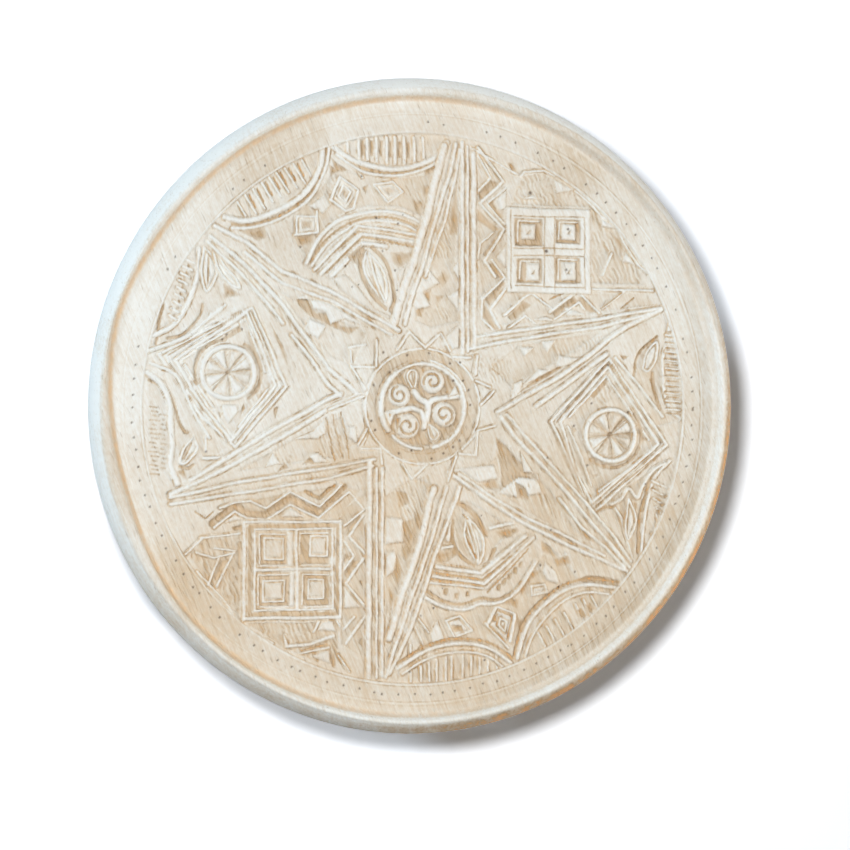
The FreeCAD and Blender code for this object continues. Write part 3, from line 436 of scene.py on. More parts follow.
def plate(top, *areas, slope=1.8, colour=0.13):
    """Leave a flat plate standing, with a cut round its foot."""
    for points in areas:
        at = near(points, 2.5)
        hit, d = inside(at, points), away(at, points + points[:1])
        foot = np.where(hit, 0, np.clip(1 - d / 1.8, 0, 1))
        height[at] = np.where(foot > 0, np.minimum(height[at], FLAT - 0.9 * foot), height[at])
        bare_and_shade[at] = np.maximum(bare_and_shade[at], (0.5 + 0.15 * uneven[at]) * foot)
        f = np.clip(d / slope, 0, 1)
        height[at] = np.where(hit, np.maximum(FLAT * (1 - f) + top * f, FLAT), height[at])
        bare_and_shade[at] = np.where(hit, colour + 0.15 * (1 - f), bare_and_shade[at])


print("grounds, chips and plates ready")

# %% [markdown]
# Grounds are scored with even lines that show a little wood, and dots are struck with an awl. The lines
# fade where the hand pressed less. A last helper tells how deep the carving is after each step.

# %% Hatching and dots
def hatch(turn, pitch, depth, *areas):
    """Score an area with even lines."""
    c, s = math.cos(math.radians(turn)), math.sin(math.radians(turn))
    for points in areas:
        at = near(points, 0.5)
        f = np.clip(inset(at, points) / 1.5, 0, 1)
        wave = 0.5 + 0.5 * np.cos(2 * math.pi * (c * north[at] - s * east[at]) / pitch + 2.2 * uneven[at])
        f = f * np.clip(0.7 + 0.5 * uneven[at] + 0.3 * ragged[at], 0, 1)
        height[at] -= f * depth * wave
        bare_and_shade[at] = np.clip(bare_and_shade[at] + f * 0.25 * (wave - 0.3), 0, 1)


def punch(radius, depth, spots):
    """Strike round dots."""
    for x, y in spots:
        at = near([(x, y)], radius * 1.5)
        f = np.clip(1 - np.hypot(east[at] - x, north[at] - y) / radius, 0, 1)
        height[at] -= depth * f
        pit[at] = np.maximum(pit[at], np.minimum(1, 2 * f))


def tell(what):
    """Print how deep the carving is by now."""
    print(what + ": deepest cut so far", height.min().round(2), "mm")


tell("bare field")

# %% [markdown]
# Strokes are lines through measured points. Three helpers make the curved ones: a smooth line through
# points, an arc of a circle, and a scroll that winds inward. A fourth moves a line's points out to the
# edge of the field, to close the outline of an area that ends there.

# %% Curved strokes
def bent(points, steps=5):
    """Smooth line through points."""
    p = [np.array(q, float) for q in points]
    p = [2 * p[0] - p[1], *p, 2 * p[-1] - p[-2]]
    line = []
    for a, b, c, d in zip(p, p[1:], p[2:], p[3:]):
        for t in np.arange(steps) / steps:
            line.append(tuple(0.5 * (2 * b + (c - a) * t + (2 * a - 5 * b + 4 * c - d) * t**2
                                     + (3 * b - a - 3 * c + d) * t**3)))
    return line + [tuple(p[-2])]


def scroll(x, y, outer, inner, start, turns):
    """Line that winds from an outer to an inner radius."""
    count = max(8, round(abs(turns) * 45))
    radii = np.linspace(outer, inner, count + 1)
    angles = math.radians(start) + np.linspace(0, turns, count + 1) * 2 * math.pi
    return [(x + r * math.cos(a), y + r * math.sin(a)) for r, a in zip(radii, angles)]


def arc(x, y, radius, start=0, end=360):
    """Part of a circle between two angles, or all of it."""
    return scroll(x, y, radius, radius, start, (end - start) / 360)


def to_edge(points, share=1.03):
    """The same points moved out to the edge of the field, in the opposite order."""
    return [(x * share * FIELD / math.hypot(x, y), y * share * FIELD / math.hypot(x, y))
            for x, y in reversed(points)]


print("a scroll has", len(scroll(0, 0, 13, 3, 0, 1.45)), "points")

# %% [markdown]
# Small leaves and square cells come back in most sectors. A leaf is a curved plate with a thin rib as
# its edge, and a cell is a rectangle, so each gets a function of its own.

# %% Leaves and rectangles
def leaf(top, width, *outlines, crest=0.0, flank=1.5, steps=5):
    """Leave curved leaves standing, with a thin rib along the edge of each."""
    for points in outlines:
        edge = bent(points, steps)
        plate(top, edge[:-1])
        ribs((width, edge), top=crest, flank=flank)


def box(x0, x1, y0, y1):
    """Corners of a rectangle."""
    return [(x0, y0), (x1, y0), (x1, y1), (x0, y1)]


print("a leaf and a rectangle ready")

# %% [markdown]
# Two of the six sectors hold a leaf under a chevron and an inner arch, with two toothed fans at the
# edge. The order is the carver's: grounds go down first, then chips, and the ribs that are left
# standing come last, because a rib's foot cut must not be filled again.

# %% Corners over the leaf, upper left
sink(2.2, 0.55,
     [(-104, 240), (-96, 258), (-78, 250), (-40, 245), (0, 250), (18, 262), (10, 236), (0, 205),
      (-25, 214), (-60, 214), (-90, 203), (-112, 178), (-126, 158), (-138, 172), (-140, 200)])
chip(3.4, 0.95, [(0, 256), (10, 262), (23, 270), (22, 262), (12, 254), (3, 248)],
     [(-100, 266), (-90, 258), (-80, 252), (-95, 249)],
     [(-140, 180), (-117, 183), (-117, 172), (-134, 168)],
     [(-198, 184), (-170, 187), (-168, 176), (-178, 173)], [(-2, 238), (12, 242), (8, 224), (0, 228)],
     [(-12, 224), (2, 222), (-2, 206), (-10, 212)], [(-102, 258), (-92, 252), (-100, 244)],
     [(-66, 234), (-58, 240), (-62, 226)])
hatch(118, 4, 1, [(-22, 246), (-6, 246), (2, 222), (-8, 212), (-16, 226)],
      [(-106, 226), (-100, 244), (-92, 246), (-98, 222)])
plate(-0.3, [(-90, 245), (-70, 231), (-84, 208), (-100, 220)],
      [(-54, 238), (-33, 242), (-22, 231), (-38, 219), (-50, 228)],
      [(-137, 203), (-114, 203), (-113, 183), (-137, 181)],
      [(-124, 212), (-106, 226), (-100, 214), (-108, 204)], colour=0.2)
ribs((3, [(-90, 245), (-99, 222)]), (2.4, [(-90, 245), (-70, 231)]),
     (3, [(-70, 231), (-75, 211), (-84, 208), (-100, 220)]),
     (2.2, [(-86, 236), (-78, 229), (-84, 217), (-91, 224), (-86, 236)]),
     (2.4, [(-74, 256), (-66, 245)]),
     (2.2, [(-54, 238), (-33, 242), (-22, 231), (-38, 219), (-54, 238)]),
     (2.6, [(-138, 181), (-113, 184), (-115, 207)]), (2.4, [(-136, 182), (-136, 201), (-115, 201)]),
     top=0.1)
chip(2.6, 0.6, [(-86, 233), (-80, 229), (-84, 220), (-89, 225)],
     [(-46, 235), (-35, 237), (-28, 231), (-38, 225)],
     [(-131, 197), (-119, 197), (-118, 188), (-131, 187)])
tell("corners over the leaf")

# %% [markdown]
# An arch of two ribs bends over the leaf, and a chevron of three more lies under it. A plate is left
# high for them first, so that the whole arch stands out from its sunk corners.

# %% Arch and chevron, upper left
outer = bent([(-126, 150), (-116, 171), (-104, 187), (-90, 198), (-70, 205), (-50, 209), (-30, 208),
              (-12, 203), (0, 197)])
below = bent([(-120, 148), (-108, 166), (-94, 180), (-80, 190), (-70, 196), (-50, 199), (-22, 196),
              (-5, 189)])
plate(-0.5,
      [(-124, 146), (-104, 184), (-70, 203), (-30, 206), (-4, 195), (-4, 172), (-62, 176), (-100, 134)],
      colour=0.25)
groove(3.4, 1.4, 0.75,
       bent([(-121, 152), (-110, 170), (-96, 184), (-82, 194), (-64, 201), (-46, 203), (-26, 201),
             (-6, 194)]),
       [(-68, 194), (-38, 188), (-6, 182)], [(-110, 151), (-70, 187)],
       [(-104, 142), (-66, 181), (-8, 172)])
ribs((4.4, outer), (3, below))
ribs((3.4, [(-117, 144), (-71, 193), (-6, 185)]), (4, [(-111, 139), (-67, 184), (-6, 177)]),
     (5, [(-98, 138), (-66, 174), (-40, 171)]), top=0.1)
chip(3.2, 0.85, [(-36, 165), (-28, 166), (-10, 166), (-14, 156), (-26, 148), (-33, 154)],
     [(-82, 160), (-67, 173), (-64, 166), (-70, 150), (-76, 152)])
tell("arch and chevron")

# %% [markdown]
# The leaf in the middle has two blades that lean on each other. A broad groove along both sides sets
# them off from the arch.

# %% Leaf, upper left
groove(6, 1.8, 0.62, bent([(-65, 167), (-68, 152), (-64, 134), (-53, 117), (-40, 104)]),
       bent([(-55, 170), (-39, 153), (-33, 132), (-31, 114), (-35, 102)]))
leaf(0, 2.6,
     [(-61, 164), (-64, 152), (-62, 140), (-54, 126), (-44, 116), (-51, 132), (-57, 146), (-61, 164)],
     [(-58, 163), (-46, 150), (-40, 136), (-40, 113), (-46, 121), (-53, 141), (-58, 163)], crest=0.2,
     flank=0.6)
plate(-0.4, [(-98, 136), (-84, 140), (-70, 126), (-52, 104), (-30, 94), (-44, 92), (-88, 122)],
      [(-26, 146), (-18, 152), (-22, 128), (-28, 120)], colour=0.2)
tell("leaf")

# %% [markdown]
# Two fans with teeth fill the sector out to the edge of the field. A fan's arch is a curve through
# measured points, and its ground runs from there to the edge. The teeth are short ribs in a row, with
# the wood lifted out between them, so one line of code cuts a whole row.

# %% Toothed fans, upper left
top_fan = [(-97, 277), (-84, 268), (-70, 261), (-51, 257), (-33, 255.5), (-14, 258), (5, 265),
           (19, 275), (27, 287)]
left_fan = [(-212, 197), (-194, 194), (-177, 197), (-156, 206), (-135, 219), (-119, 237), (-111, 256),
            (-109, 274)]
for fan in (top_fan, left_fan):
    sink(2.4, 0.45, fan + to_edge(fan), slope=2.5)
chip(3.2, 0.9,
     *[[(x, 286), (x + 5, 286.5), (x + 4.5, 268), (x + 0.5, 268)]
       for x in (-68, -58, -48, -37.5, -28, -18.5)])
ribs(*[(3.6, [(x, 291 - x * x / 900), (x + 1, 262)])
       for x in (-82, -70, -61, -51, -40, -31, -21, -10, 0)])
ribs(*[(2.4, [(a, b), (a + 13, b - 21)])
       for a, b in ((-199, 214), (-191, 222), (-183, 229), (-174, 236), (-166, 242), (-158, 247),
                    (-149, 252), (-140, 257), (-131, 261))])
groove(2.4, 2, 1,
       *[[(a + 5, b), (a + 12, b - 13)]
         for a, b in ((-191, 222), (-183, 229), (-174, 236), (-166, 242), (-158, 247), (-149, 252),
                      (-140, 257))])
groove(4, 1.6, 0.75,
       bent([(-95, 274), (-80, 263), (-60, 254), (-40, 251), (-20, 252.5), (0, 259), (12, 265),
             (24, 277)]),
       bent([(-204, 190), (-185, 190), (-163, 196), (-146, 205), (-128, 220), (-115, 238), (-107, 258),
             (-105, 274)]))
ribs((6, bent(top_fan)),
     (3.4, bent([(-94, 269), (-79, 259), (-65, 251), (-47, 248.5), (-23, 249.5), (0, 256), (18, 266)])),
     (6, bent(left_fan)),
     (3.4, bent([(-204, 186), (-185, 187), (-163, 193), (-144, 203), (-126, 217), (-114, 233),
                 (-105, 256), (-102, 275)])))
punch(1.5, 1.6, [(-84, 149), (-30, 146), (-132, 168), (-67, 246), (-50, 202), (-27, 196)])
punch(1.1, 1.2, [(-77, 126), (-70, 129), (-22, 206), (-28, 124), (-44, 166)])
tell("toothed fans")

# %% [markdown]
# The opposite sector repeats the same motifs after half a turn, drawn again by hand, so its lines
# differ a little. Measuring it anew keeps that difference, which a turned copy would lose.

# %% Corners over the leaf, lower right
sink(2.2, 0.5, [(30, -110), (38, -150), (60, -176), (80, -150), (100, -130), (64, -108), (48, -100)],
     [(0, -205), (30, -218), (66, -212), (100, -206), (122, -168), (140, -150), (160, -168),
      (170, -184), (120, -218), (100, -255), (76, -252), (50, -247), (0, -256)])
chip(3.4, 0.95, [(14, -154), (37, -151), (38, -157), (24, -167), (14, -166)],
     [(78, -133), (102, -129), (106, -132), (96, -139), (86, -142)],
     [(129, -143), (140, -150), (146, -161), (136, -158), (130, -154)],
     [(144, -163), (160, -159), (163, -168), (147, -171)],
     [(68, -170), (74, -152), (81, -150), (76, -164)],
     [(118, -176), (134, -174), (120, -184), (107, -204), (104, -194)],
     [(101, -224), (116, -228), (110, -240), (102, -244)],
     [(86, -209), (104, -216), (106, -206), (96, -204)],
     [(166, -188), (182, -182), (200, -183), (182, -188)])
groove(8, 1.9, 0.64, bent([(41, -104), (52, -111), (61, -121), (69, -136)]))
groove(5, 1.6, 0.65, bent([(33, -122), (32, -142), (40, -158), (56, -170)]))
ribs((5, bent([(37, -98), (31, -114), (28, -128), (27, -142)])),
     (4, [(74, -130), (86, -127), (100, -124)]), (3.4, [(14, -152), (32, -149)]), top=0.1)
plate(-0.2, [(25, -228), (40, -223), (54, -238), (34, -246)],
      [(78, -213), (100, -221), (93, -257), (68, -231)],
      [(117, -191), (133, -189), (137, -199), (119, -203)],
      [(8, -240), (16, -226), (24, -250), (10, -256)],
      [(134, -166), (146, -176), (150, -190), (136, -186), (130, -176)],
      [(152, -158), (160, -154), (158, -160)])
ribs((2.6, [(25, -228), (40, -223), (54, -238), (34, -245), (25, -228)]), (4, [(79, -214), (71, -230)]),
     (2.2, [(79, -213), (99, -221)]), (4, [(100, -222), (95, -250)]), (3, [(68, -231), (93, -257)]),
     (2.2, [(84, -226), (91, -230), (89, -240), (82, -233), (84, -226)]),
     (2.4, [(118, -192), (133, -190), (136, -198), (119, -202), (118, -192)]),
     (2.2, [(-8, -220), (6, -240)]), (2.2, [(-10, -230), (0, -252)]), top=0.1)
groove(2, 1.3, 0.85, [(82, -218), (97, -224), (92, -246)], [(72, -234), (90, -251)])
chip(2.8, 0.9, [(30, -232), (42, -233), (44, -239), (33, -240)],
     [(76, -222), (82, -220), (80, -230), (74, -230)])
tell("corners over the leaf")

# %% [markdown]
# This leaf is made like its twin. The chevron is one broad bent plate with ribs along it, and the arch
# over it waves. Small chips in a row make the notched edge between them.

# %% Leaf, arch and chevron, lower right
leaf(0, 2.6, [(48, -119), (45, -134), (49, -150), (60, -168), (56, -152), (51, -138), (48, -119)],
     [(49, -118), (60, -130), (66, -142), (65, -158), (60, -168), (59, -152), (55, -136), (49, -118)],
     crest=0.2, flank=0.6)
groove(1.8, 2, 1, [(47, -138), (58, -162)], [(44, -115), (49, -120)])
plate(-0.5, [(12, -166), (60, -173), (76, -162), (112, -136), (122, -138), (70, -196), (6, -190)],
      colour=0.25)
groove(3.4, 1.5, 0.8, [(10, -176), (65, -185), (118, -143)], [(7, -183), (66, -191)])
groove(1.8, 1.6, 0.9, [(70, -198), (116, -152)])
ribs((5, [(13, -170), (63, -178), (80, -164), (112, -138)]),
     (3.6, [(8, -180), (67, -189), (121, -140)]), (2.4, [(7, -187), (66, -194)]), top=0.1)
ribs((4.4, bent([(0, -201), (16, -210), (30, -215), (46, -216), (62, -210), (74, -210), (88, -207),
                 (104, -196), (116, -178), (124, -166)])))
groove(4.5, 1.6, 0.64,
       bent([(2, -194), (20, -206), (40, -211), (60, -205), (66, -204), (80, -206), (94, -201)]))
chip(2.8, 0.85,
     *[[(x, y), (x + 6, y + 2), (x + 4, y - 7), (x - 1, y - 6)]
       for x, y in ((80, -190), (86, -184), (92, -178), (98, -172), (104, -166), (22, -194), (34, -199),
                    (46, -197))])
tell("leaf, arch and chevron")

# %% [markdown]
# These two fans have double arches. The teeth are cut first and the arches last, so that every tooth
# ends cleanly at its arch.

# %% Toothed fans, lower right
bottom_fan = [(-27, -277), (0, -261), (25, -253), (50, -252), (75, -259), (96, -273)]
right_fan = [(103, -268), (110, -242), (122, -222), (150, -199), (180, -191), (214, -194)]
for fan in (bottom_fan, right_fan):
    sink(2.2, 0.35, fan + to_edge(fan), slope=2.5)
ribs(*[(3, [(x, -262 + (x - 37) ** 2 / 260), (x, -291)])
       for x in (-13, -2, 7, 15, 25, 31, 43, 52, 61, 70, 80)])
ribs(*[(2.8, [(a, b), (a + 9, b - 17)])
       for a, b in ((185, -203), (176, -207), (167, -212), (155, -221), (145, -228), (135, -235),
                    (125, -241))])
chip(3.2, 0.9, [(178, -212), (184, -210), (190, -216), (182, -222)],
     [(168, -218), (174, -216), (180, -224), (174, -228)],
     [(165, -188), (180, -181), (200, -182), (218, -188), (206, -188), (182, -188)])
groove(4, 1.6, 0.75, bent([(-28, -272), (0, -256), (25, -248), (50, -247), (75, -253), (98, -268)]),
       bent([(99, -266), (106, -240), (118, -219), (148, -194), (180, -185), (216, -188)]))
ribs((4.5, bent(bottom_fan)),
     (3, bent([(-22, -283), (0, -270), (25, -262), (50, -261), (72, -267), (88, -278)])),
     (4.5, bent(right_fan)),
     (3, bent([(112, -266), (118, -247), (130, -230), (154, -208), (180, -199), (206, -201)])))
punch(1.5, 1.6,
      [(12, -214), (67, -270), (129, -170), (167, -177), (149, -193), (-14, -281), (140, -132)])
punch(1.1, 1.2, [(21, -193), (38, -183), (141, -172), (64, -116), (158, -256), (-2, -222)])
tell("toothed fans")

# %% [markdown]
# The next sector holds a square with a cross in it, and zigzag ribs run along two of its sides. First
# its corners are taken down and scored along the grain, as the knife left them.

# %% Ground round the square, upper right
ground = [(97, 221), (104, 240), (110, 254), (134, 258), (146, 250), (149, 236), (168, 239), (190, 221),
          (215, 202), (226, 182), (240, 160), (248, 137), (188, 137), (188, 221)]
sink(2.0, 0.5, [(60, 272), (90, 250), (92, 140), (66, 95), (60, 180)],
     [(66, 95), (92, 134), (100, 126), (250, 128), (262, 116), (110, 90), (68, 88)], ground)
hatch(112, 5, 0.9, ground)
tell("ground round the square")

# %% [markdown]
# A zigzag is a rib between sunk bands. The bands are cut as separate little areas, because each tooth
# on the real table has its own shape, and small plates stand in the corners that are left.

# %% Zigzags, upper right
sink(3, 0.98, [(58, 272), (73, 251), (62, 260)], [(74, 249), (88, 245), (64, 223), (60, 234)],
     [(90, 242), (71, 223), (86, 203), (90, 208), (79, 222)],
     [(60, 217), (64, 214), (86, 193), (78, 190), (60, 203)],
     [(88, 190), (83, 190), (66, 166), (69, 161), (74, 165)], [(62, 175), (67, 167), (62, 162)],
     [(79, 157), (70, 157), (86, 138), (92, 141)], [(92, 136), (88, 139), (66, 117), (74, 108)],
     [(66, 116), (73, 106), (84, 84), (79, 82), (66, 98)],
     [(92, 98), (111, 117), (122, 112), (112, 104), (100, 92)],
     [(141, 104), (168, 124), (174, 117), (146, 98)],
     [(172, 122), (178, 124), (196, 106), (186, 104), (176, 112)],
     [(199, 112), (203, 120), (208, 121), (203, 114)], [(92, 268), (100, 268), (108, 255), (100, 258)],
     [(206, 198), (222, 187), (227, 172), (220, 177), (211, 191)], slope=2.5)
plate(-0.1, [(81, 227), (92, 237), (92, 217), (85, 215)], [(81, 163), (92, 178), (92, 151)],
      [(145, 252), (170, 240), (149, 236)], [(199, 214), (215, 204), (216, 198), (200, 201)],
      [(226, 174), (241, 158), (223, 163)], [(111, 228), (129, 228), (122, 233)],
      [(157, 111), (183, 102), (160, 100)], [(221, 110), (262, 116), (246, 108)],
      [(120, 96), (136, 100), (150, 94)])
ribs((2.4, [(57, 281), (75, 250), (60, 234)]),
     (3.2, [(61, 283), (89, 247), (63, 222), (90, 194), (68, 159), (80, 142)]),
     (2.2, [(92, 240), (71, 222), (91, 199)]), (2.2, [(77, 190), (71, 184), (63, 178), (61, 161)]),
     (2.4, [(76, 160), (92, 140)]), (3.2, [(95, 135), (74, 106), (86, 83)]),
     (2.6, [(89, 140), (65, 117), (65, 96), (80, 81)]), (2.4, [(50, 284), (107, 254)]),
     (3, [(90, 100), (111, 119), (122, 126)]), (2.2, [(120, 125), (143, 109)]),
     (3.4, [(141, 105), (169, 126)]), (2.2, [(146, 97), (174, 116), (180, 108)]),
     (2.2, [(174, 126), (197, 105)]), (3, [(200, 111), (226, 130)]),
     (2.4, [(95, 86), (113, 100), (124, 92)]), (3, [(211, 171), (201, 147)]),
     (2.6, [(188, 131), (258, 131)]), top=0)
ribs((2.2, [(109, 253), (113, 258), (134, 260), (147, 255)]),
     (2.2, [(170, 239), (191, 222), (199, 213), (215, 204), (226, 182), (241, 159), (252, 150)]),
     top=-0.2)
groove(2, 1.2, 0.8, [(141, 119), (166, 130)], [(221, 110), (236, 122)], [(202, 182), (208, 174)],
       [(198, 110), (222, 128)])
tell("zigzags")

# %% [markdown]
# Each of the four cells of the square is a sunk frame round a small raised square. The cells differ by
# a few millimetres, so each has its own numbers: the cell from x0 to x1 and y0 to y1, and the raised
# square from a to b and c to d.

# %% Crossed square, upper right
plate(0, [(92, 219), (187, 219), (187, 125), (93, 125)], colour=0.1)
for x0, x1, y0, y1, a, b, c, d in ((101, 133, 176, 207, 109, 125, 184, 201),
                                   (147, 176, 180, 207, 154, 170, 184, 203),
                                   (103, 132, 135, 163, 114, 129, 138, 159),
                                   (146, 176, 136, 166, 153, 170, 140, 161)):
    sink(2.8, 0.8, box(x0, x1, y0, y1), slope=2.5)
    chip(3.2, 0.9, [(x0 + 1, y0 + 1), (x0 + 5, y0 + 4), (x0 + 4, y1 - 2), (x0 + 1, y1 - 1)],
         [(x0 + 1, y0 + 1), (x1 - 1, y0 + 1), (x1 - 3, y0 + 4.5), (x0 + 4, y0 + 5)])
    plate(-0.2, box(a, b, c, d), slope=2.5, colour=0.12)
    chip(2.2, 0.5,
         [((2 * a + b) / 3, (2 * c + d) / 3), ((a + 2 * b) / 3, (2 * c + d) / 3),
          ((a + 2 * b) / 3, (c + 2 * d) / 3)])
    ribs((1.8, [(x0 + 4, y0 + 5), (x0 + 5, y1 - 3), (x1 - 4, y1 - 3)]), top=-0.8, flank=0.2)
groove(1.8, 0.9, 0.5, [(97, 215), (97, 129)], [(100, 209), (180, 210)], [(180, 209), (180, 130)],
       [(102, 133), (180, 132)], [(146, 209), (146, 130)], [(135, 209), (134, 132)],
       [(100, 174), (180, 175)], [(100, 166), (180, 167)])
punch(2.4, 2.5, [(137, 171), (120, 235)])
punch(1.8, 1.6, [(161, 196), (159, 152)])
tell("crossed square")

# %% [markdown]
# The opposite sector has the same motifs, again measured on its own. Its outer corners are taken down
# and scored like those of its twin.

# %% Ground round the square, lower left
left = [(-192, -137), (-232, -141), (-246, -158), (-218, -200), (-192, -222)]
under = [(-188, -227), (-88, -227), (-90, -262), (-112, -270), (-150, -252)]
sink(2.0, 0.55, [(-62, -92), (-88, -112), (-88, -250), (-62, -268)],
     [(-230, -124), (-197, -102), (-90, -84), (-66, -90), (-90, -121), (-190, -122)], left, under)
hatch(112, 5, 0.9, left, under)
tell("ground round the square")

# %% [markdown]
# The zigzag above this square is a broad cut between two thin ribs, so it is made with the gouge. The
# one beside it is cut as separate little areas, as before.

# %% Zigzags, lower left
band = [(-222, -125), (-199, -106), (-184, -114), (-168, -116), (-140.6, -98), (-111, -113), (-84, -86)]
groove(10, 2, 0.6, band)
groove(5, 1.5, 0.8, [(-125, -91), (-110, -98), (-95, -85)])
sink(3, 0.95, [(-80, -128), (-65, -113), (-63, -118), (-77, -136)],
     [(-76, -138), (-72, -137), (-62, -152), (-62, -158)], [(-84, -154), (-76, -160), (-85, -168)],
     [(-85, -178), (-74, -162), (-66, -164), (-80, -186)], [(-70, -184), (-62, -183), (-62, -196)],
     [(-70, -250), (-64, -242), (-62, -256)], [(-203, -128), (-188, -124), (-188, -133), (-200, -132)],
     [(-198, -144), (-191, -142), (-191, -176), (-196, -168)],
     [(-213, -162), (-203, -160), (-214, -184), (-222, -186)],
     [(-171, -228), (-167, -228), (-166, -238), (-170, -236)],
     [(-127, -226), (-121, -236), (-123, -243), (-129, -232)],
     [(-99, -262), (-94, -258), (-92, -276), (-97, -274)], slope=2.5)
plate(-0.1, [(-152, -118), (-141, -107), (-125, -118)], [(-218, -126), (-199, -114), (-190, -120)],
      [(-119, -263), (-100, -256), (-98, -271)], [(-84, -190), (-66, -212), (-84, -214)],
      [(-112, -226), (-96, -225), (-92, -238), (-112, -236)])
ribs((2.6, [(-214, -109), (-199, -103), (-183, -101), (-167, -109), (-141, -92), (-110, -107),
            (-87, -84)]),
     (2.6, [(-220, -129), (-199, -112), (-186, -119), (-166, -121), (-141, -105), (-111, -119),
            (-80, -92)]),
     (2.4, [(-79, -92), (-63, -110), (-86, -129)]), (3.2, [(-64, -116), (-79, -138), (-62, -157)]),
     (2.4, [(-86, -140), (-74, -159), (-86, -176)]), (3.4, [(-64, -162), (-82, -188), (-60, -214)]),
     (3.2, [(-62, -222), (-82, -250)]), (2.6, [(-73, -222), (-84, -235)]),
     (2.8, [(-108, -223), (-116, -238)]), (2.4, [(-108, -225), (-93, -224), (-88, -232)]),
     (4.2, [(-146, -241), (-144, -252), (-121, -251), (-95, -242)]),
     (2.2, [(-129, -260), (-100, -254)]), (2.6, [(-234, -140), (-187, -134)]),
     (2.4, [(-249, -157), (-232, -140)]), (2.4, [(-238, -155), (-220, -160), (-199, -155)]),
     (2.2, [(-220, -150), (-198, -153)]), (2.4, [(-215, -161), (-226, -188)]),
     (2.6, [(-201, -157), (-217, -190)]), (2, [(-90, -262), (-78, -280)]),
     (2, [(-237, -174), (-210, -204), (-186, -234), (-158, -249)]), top=0)
groove(2, 1.2, 0.8, [(-146, -241), (-142, -249)], [(-128, -257), (-102, -251)],
       [(-240, -112), (-229, -120), (-221, -113)], [(-106, -93), (-100, -86)])
tell("zigzags")

# %% [markdown]
# This square has a double frame. The groove between its two ribs is cut before them, and the ribs of
# the cross come last, over the edges of the cells.

# %% Crossed square, lower left
plate(0, [(-191, -122), (-86, -122), (-86, -225), (-191, -225)], colour=0.1)
groove(5.5, 1.7, 0.62, [(-183, -128), (-91, -127), (-91, -219), (-183, -219), (-183, -128)])
for x0, x1, y0, y1, a, b, c, d in ((-176, -144, -168, -133, -168, -148, -162, -140),
                                   (-134, -99, -168, -132, -120, -102, -159, -138),
                                   (-177, -141, -211, -175, -169, -147, -206, -184),
                                   (-131, -99, -211, -175, -122, -106, -203, -183)):
    sink(2.6, 0.85, box(x0, x1, y0, y1), slope=2)
    plate(-0.3, box(a, b, c, d), slope=2.5, colour=0.25)
    ribs((2, box(a, b, c, d) + [(a, c)]), (1.8, [(x0 + 3, y0 + 2), (x0 + 3, y1 - 3), (x1 - 2, y1 - 3)]),
         top=-0.3, flank=0.4)
ribs((3, [(-189, -123), (-88, -123)]), (3.6, [(-189, -123), (-189, -224)]),
     (4, [(-189, -223), (-88, -223)]), (3.4, [(-88, -122), (-88, -223)]),
     (2.4, [(-178, -131), (-97, -130), (-96, -214), (-178, -215), (-178, -131)]),
     (3.4, [(-135, -132), (-133, -213)]), (3.4, [(-178, -173), (-97, -172)]), top=0.2, flank=0.7)
tell("crossed square")

# %% [markdown]
# The rosette is used twice, so it is a function: a sunk disc, eight petals with a vein in each, eight
# cuts between them and a round rib. Every second petal is lower, as the knife left them.

# %% Rosette
def rosette(x, y, r, turn):
    """Disc of eight petals in a ring."""
    sink(1.9, 0.45, arc(x, y, r)[:-1], slope=2)
    for k in range(8):
        a = turn + 45 * k
        petal = [(x, y)] + arc(x, y, r - 3, a - 16, a + 16)
        plate(-0.1 if k % 2 == 0 else -0.5, petal, slope=4, colour=0.1 if k % 2 == 0 else 0.25)
        vein = math.radians(a + 10)
        groove(2, 1.1, 0.45, [(x, y), (x + (r - 4) * math.cos(vein), y + (r - 4) * math.sin(vein))])
    for k in range(8):
        a = math.radians(turn + 22.5 + 45 * k)
        groove(2.8, 1.6, 0.55, [(x, y), (x + (r - 2) * math.cos(a), y + (r - 2) * math.sin(a))])
    ribs((5, arc(x, y, r)), top=0.2)


print("rosette ready")

# %% [markdown]
# The last pair of sectors holds a diamond of two ribs round a rosette. The diamond is left as a plate,
# and its inside is sunk again, so that its border stands high on both sides.

# %% Diamond and rosette, left
sink(2.0, 0.5, [(-240, 160), (-205, 112), (-196, 104), (-262, 60), (-288, 60), (-262, 100)],
     [(-290, 20), (-262, 40), (-240, 0), (-208, -46), (-235, -70), (-258, -86), (-286, -60)])
plate(-0.2, [(-184, 102), (-281, 51), (-234, -18), (-200, -47), (-142, 18)], colour=0.2)
inner = [(-189, 90), (-257, 44), (-203, -34), (-160, 20)]
sink(2.1, 0.5, inner, slope=2)
sink(2.8, 0.9, [(-220, 66), (-196, 84), (-190, 78), (-206, 68)],
     [(-188, 78), (-180, 66), (-172, 44), (-176, 40), (-186, 66)],
     [(-192, 8), (-174, 12), (-170, 26), (-186, 12)], [(-243, 46), (-238, 56), (-230, 62), (-240, 40)],
     [(-190, 2), (-188, -2), (-196, -20), (-194, -6)], [(-162, 82), (-146, 52), (-146, 46), (-158, 70)],
     slope=2)
chip(3.2, 0.95, [(-187, 77), (-181, 72), (-185, 66)], [(-191, 2), (-188, -4), (-195, -16)],
     [(-250, -26), (-245, -30), (-250, -34)], [(-213, 128), (-194, 115), (-212, 110)],
     [(-262, -72), (-250, -66), (-248, -80)], [(-160, -4), (-154, -2), (-158, -18)])
hatch(112, 5, 0.9, [(-226, -6), (-206, -10), (-216, -26)],
      [(-172, 30), (-160, 22), (-186, -14), (-190, 6)])
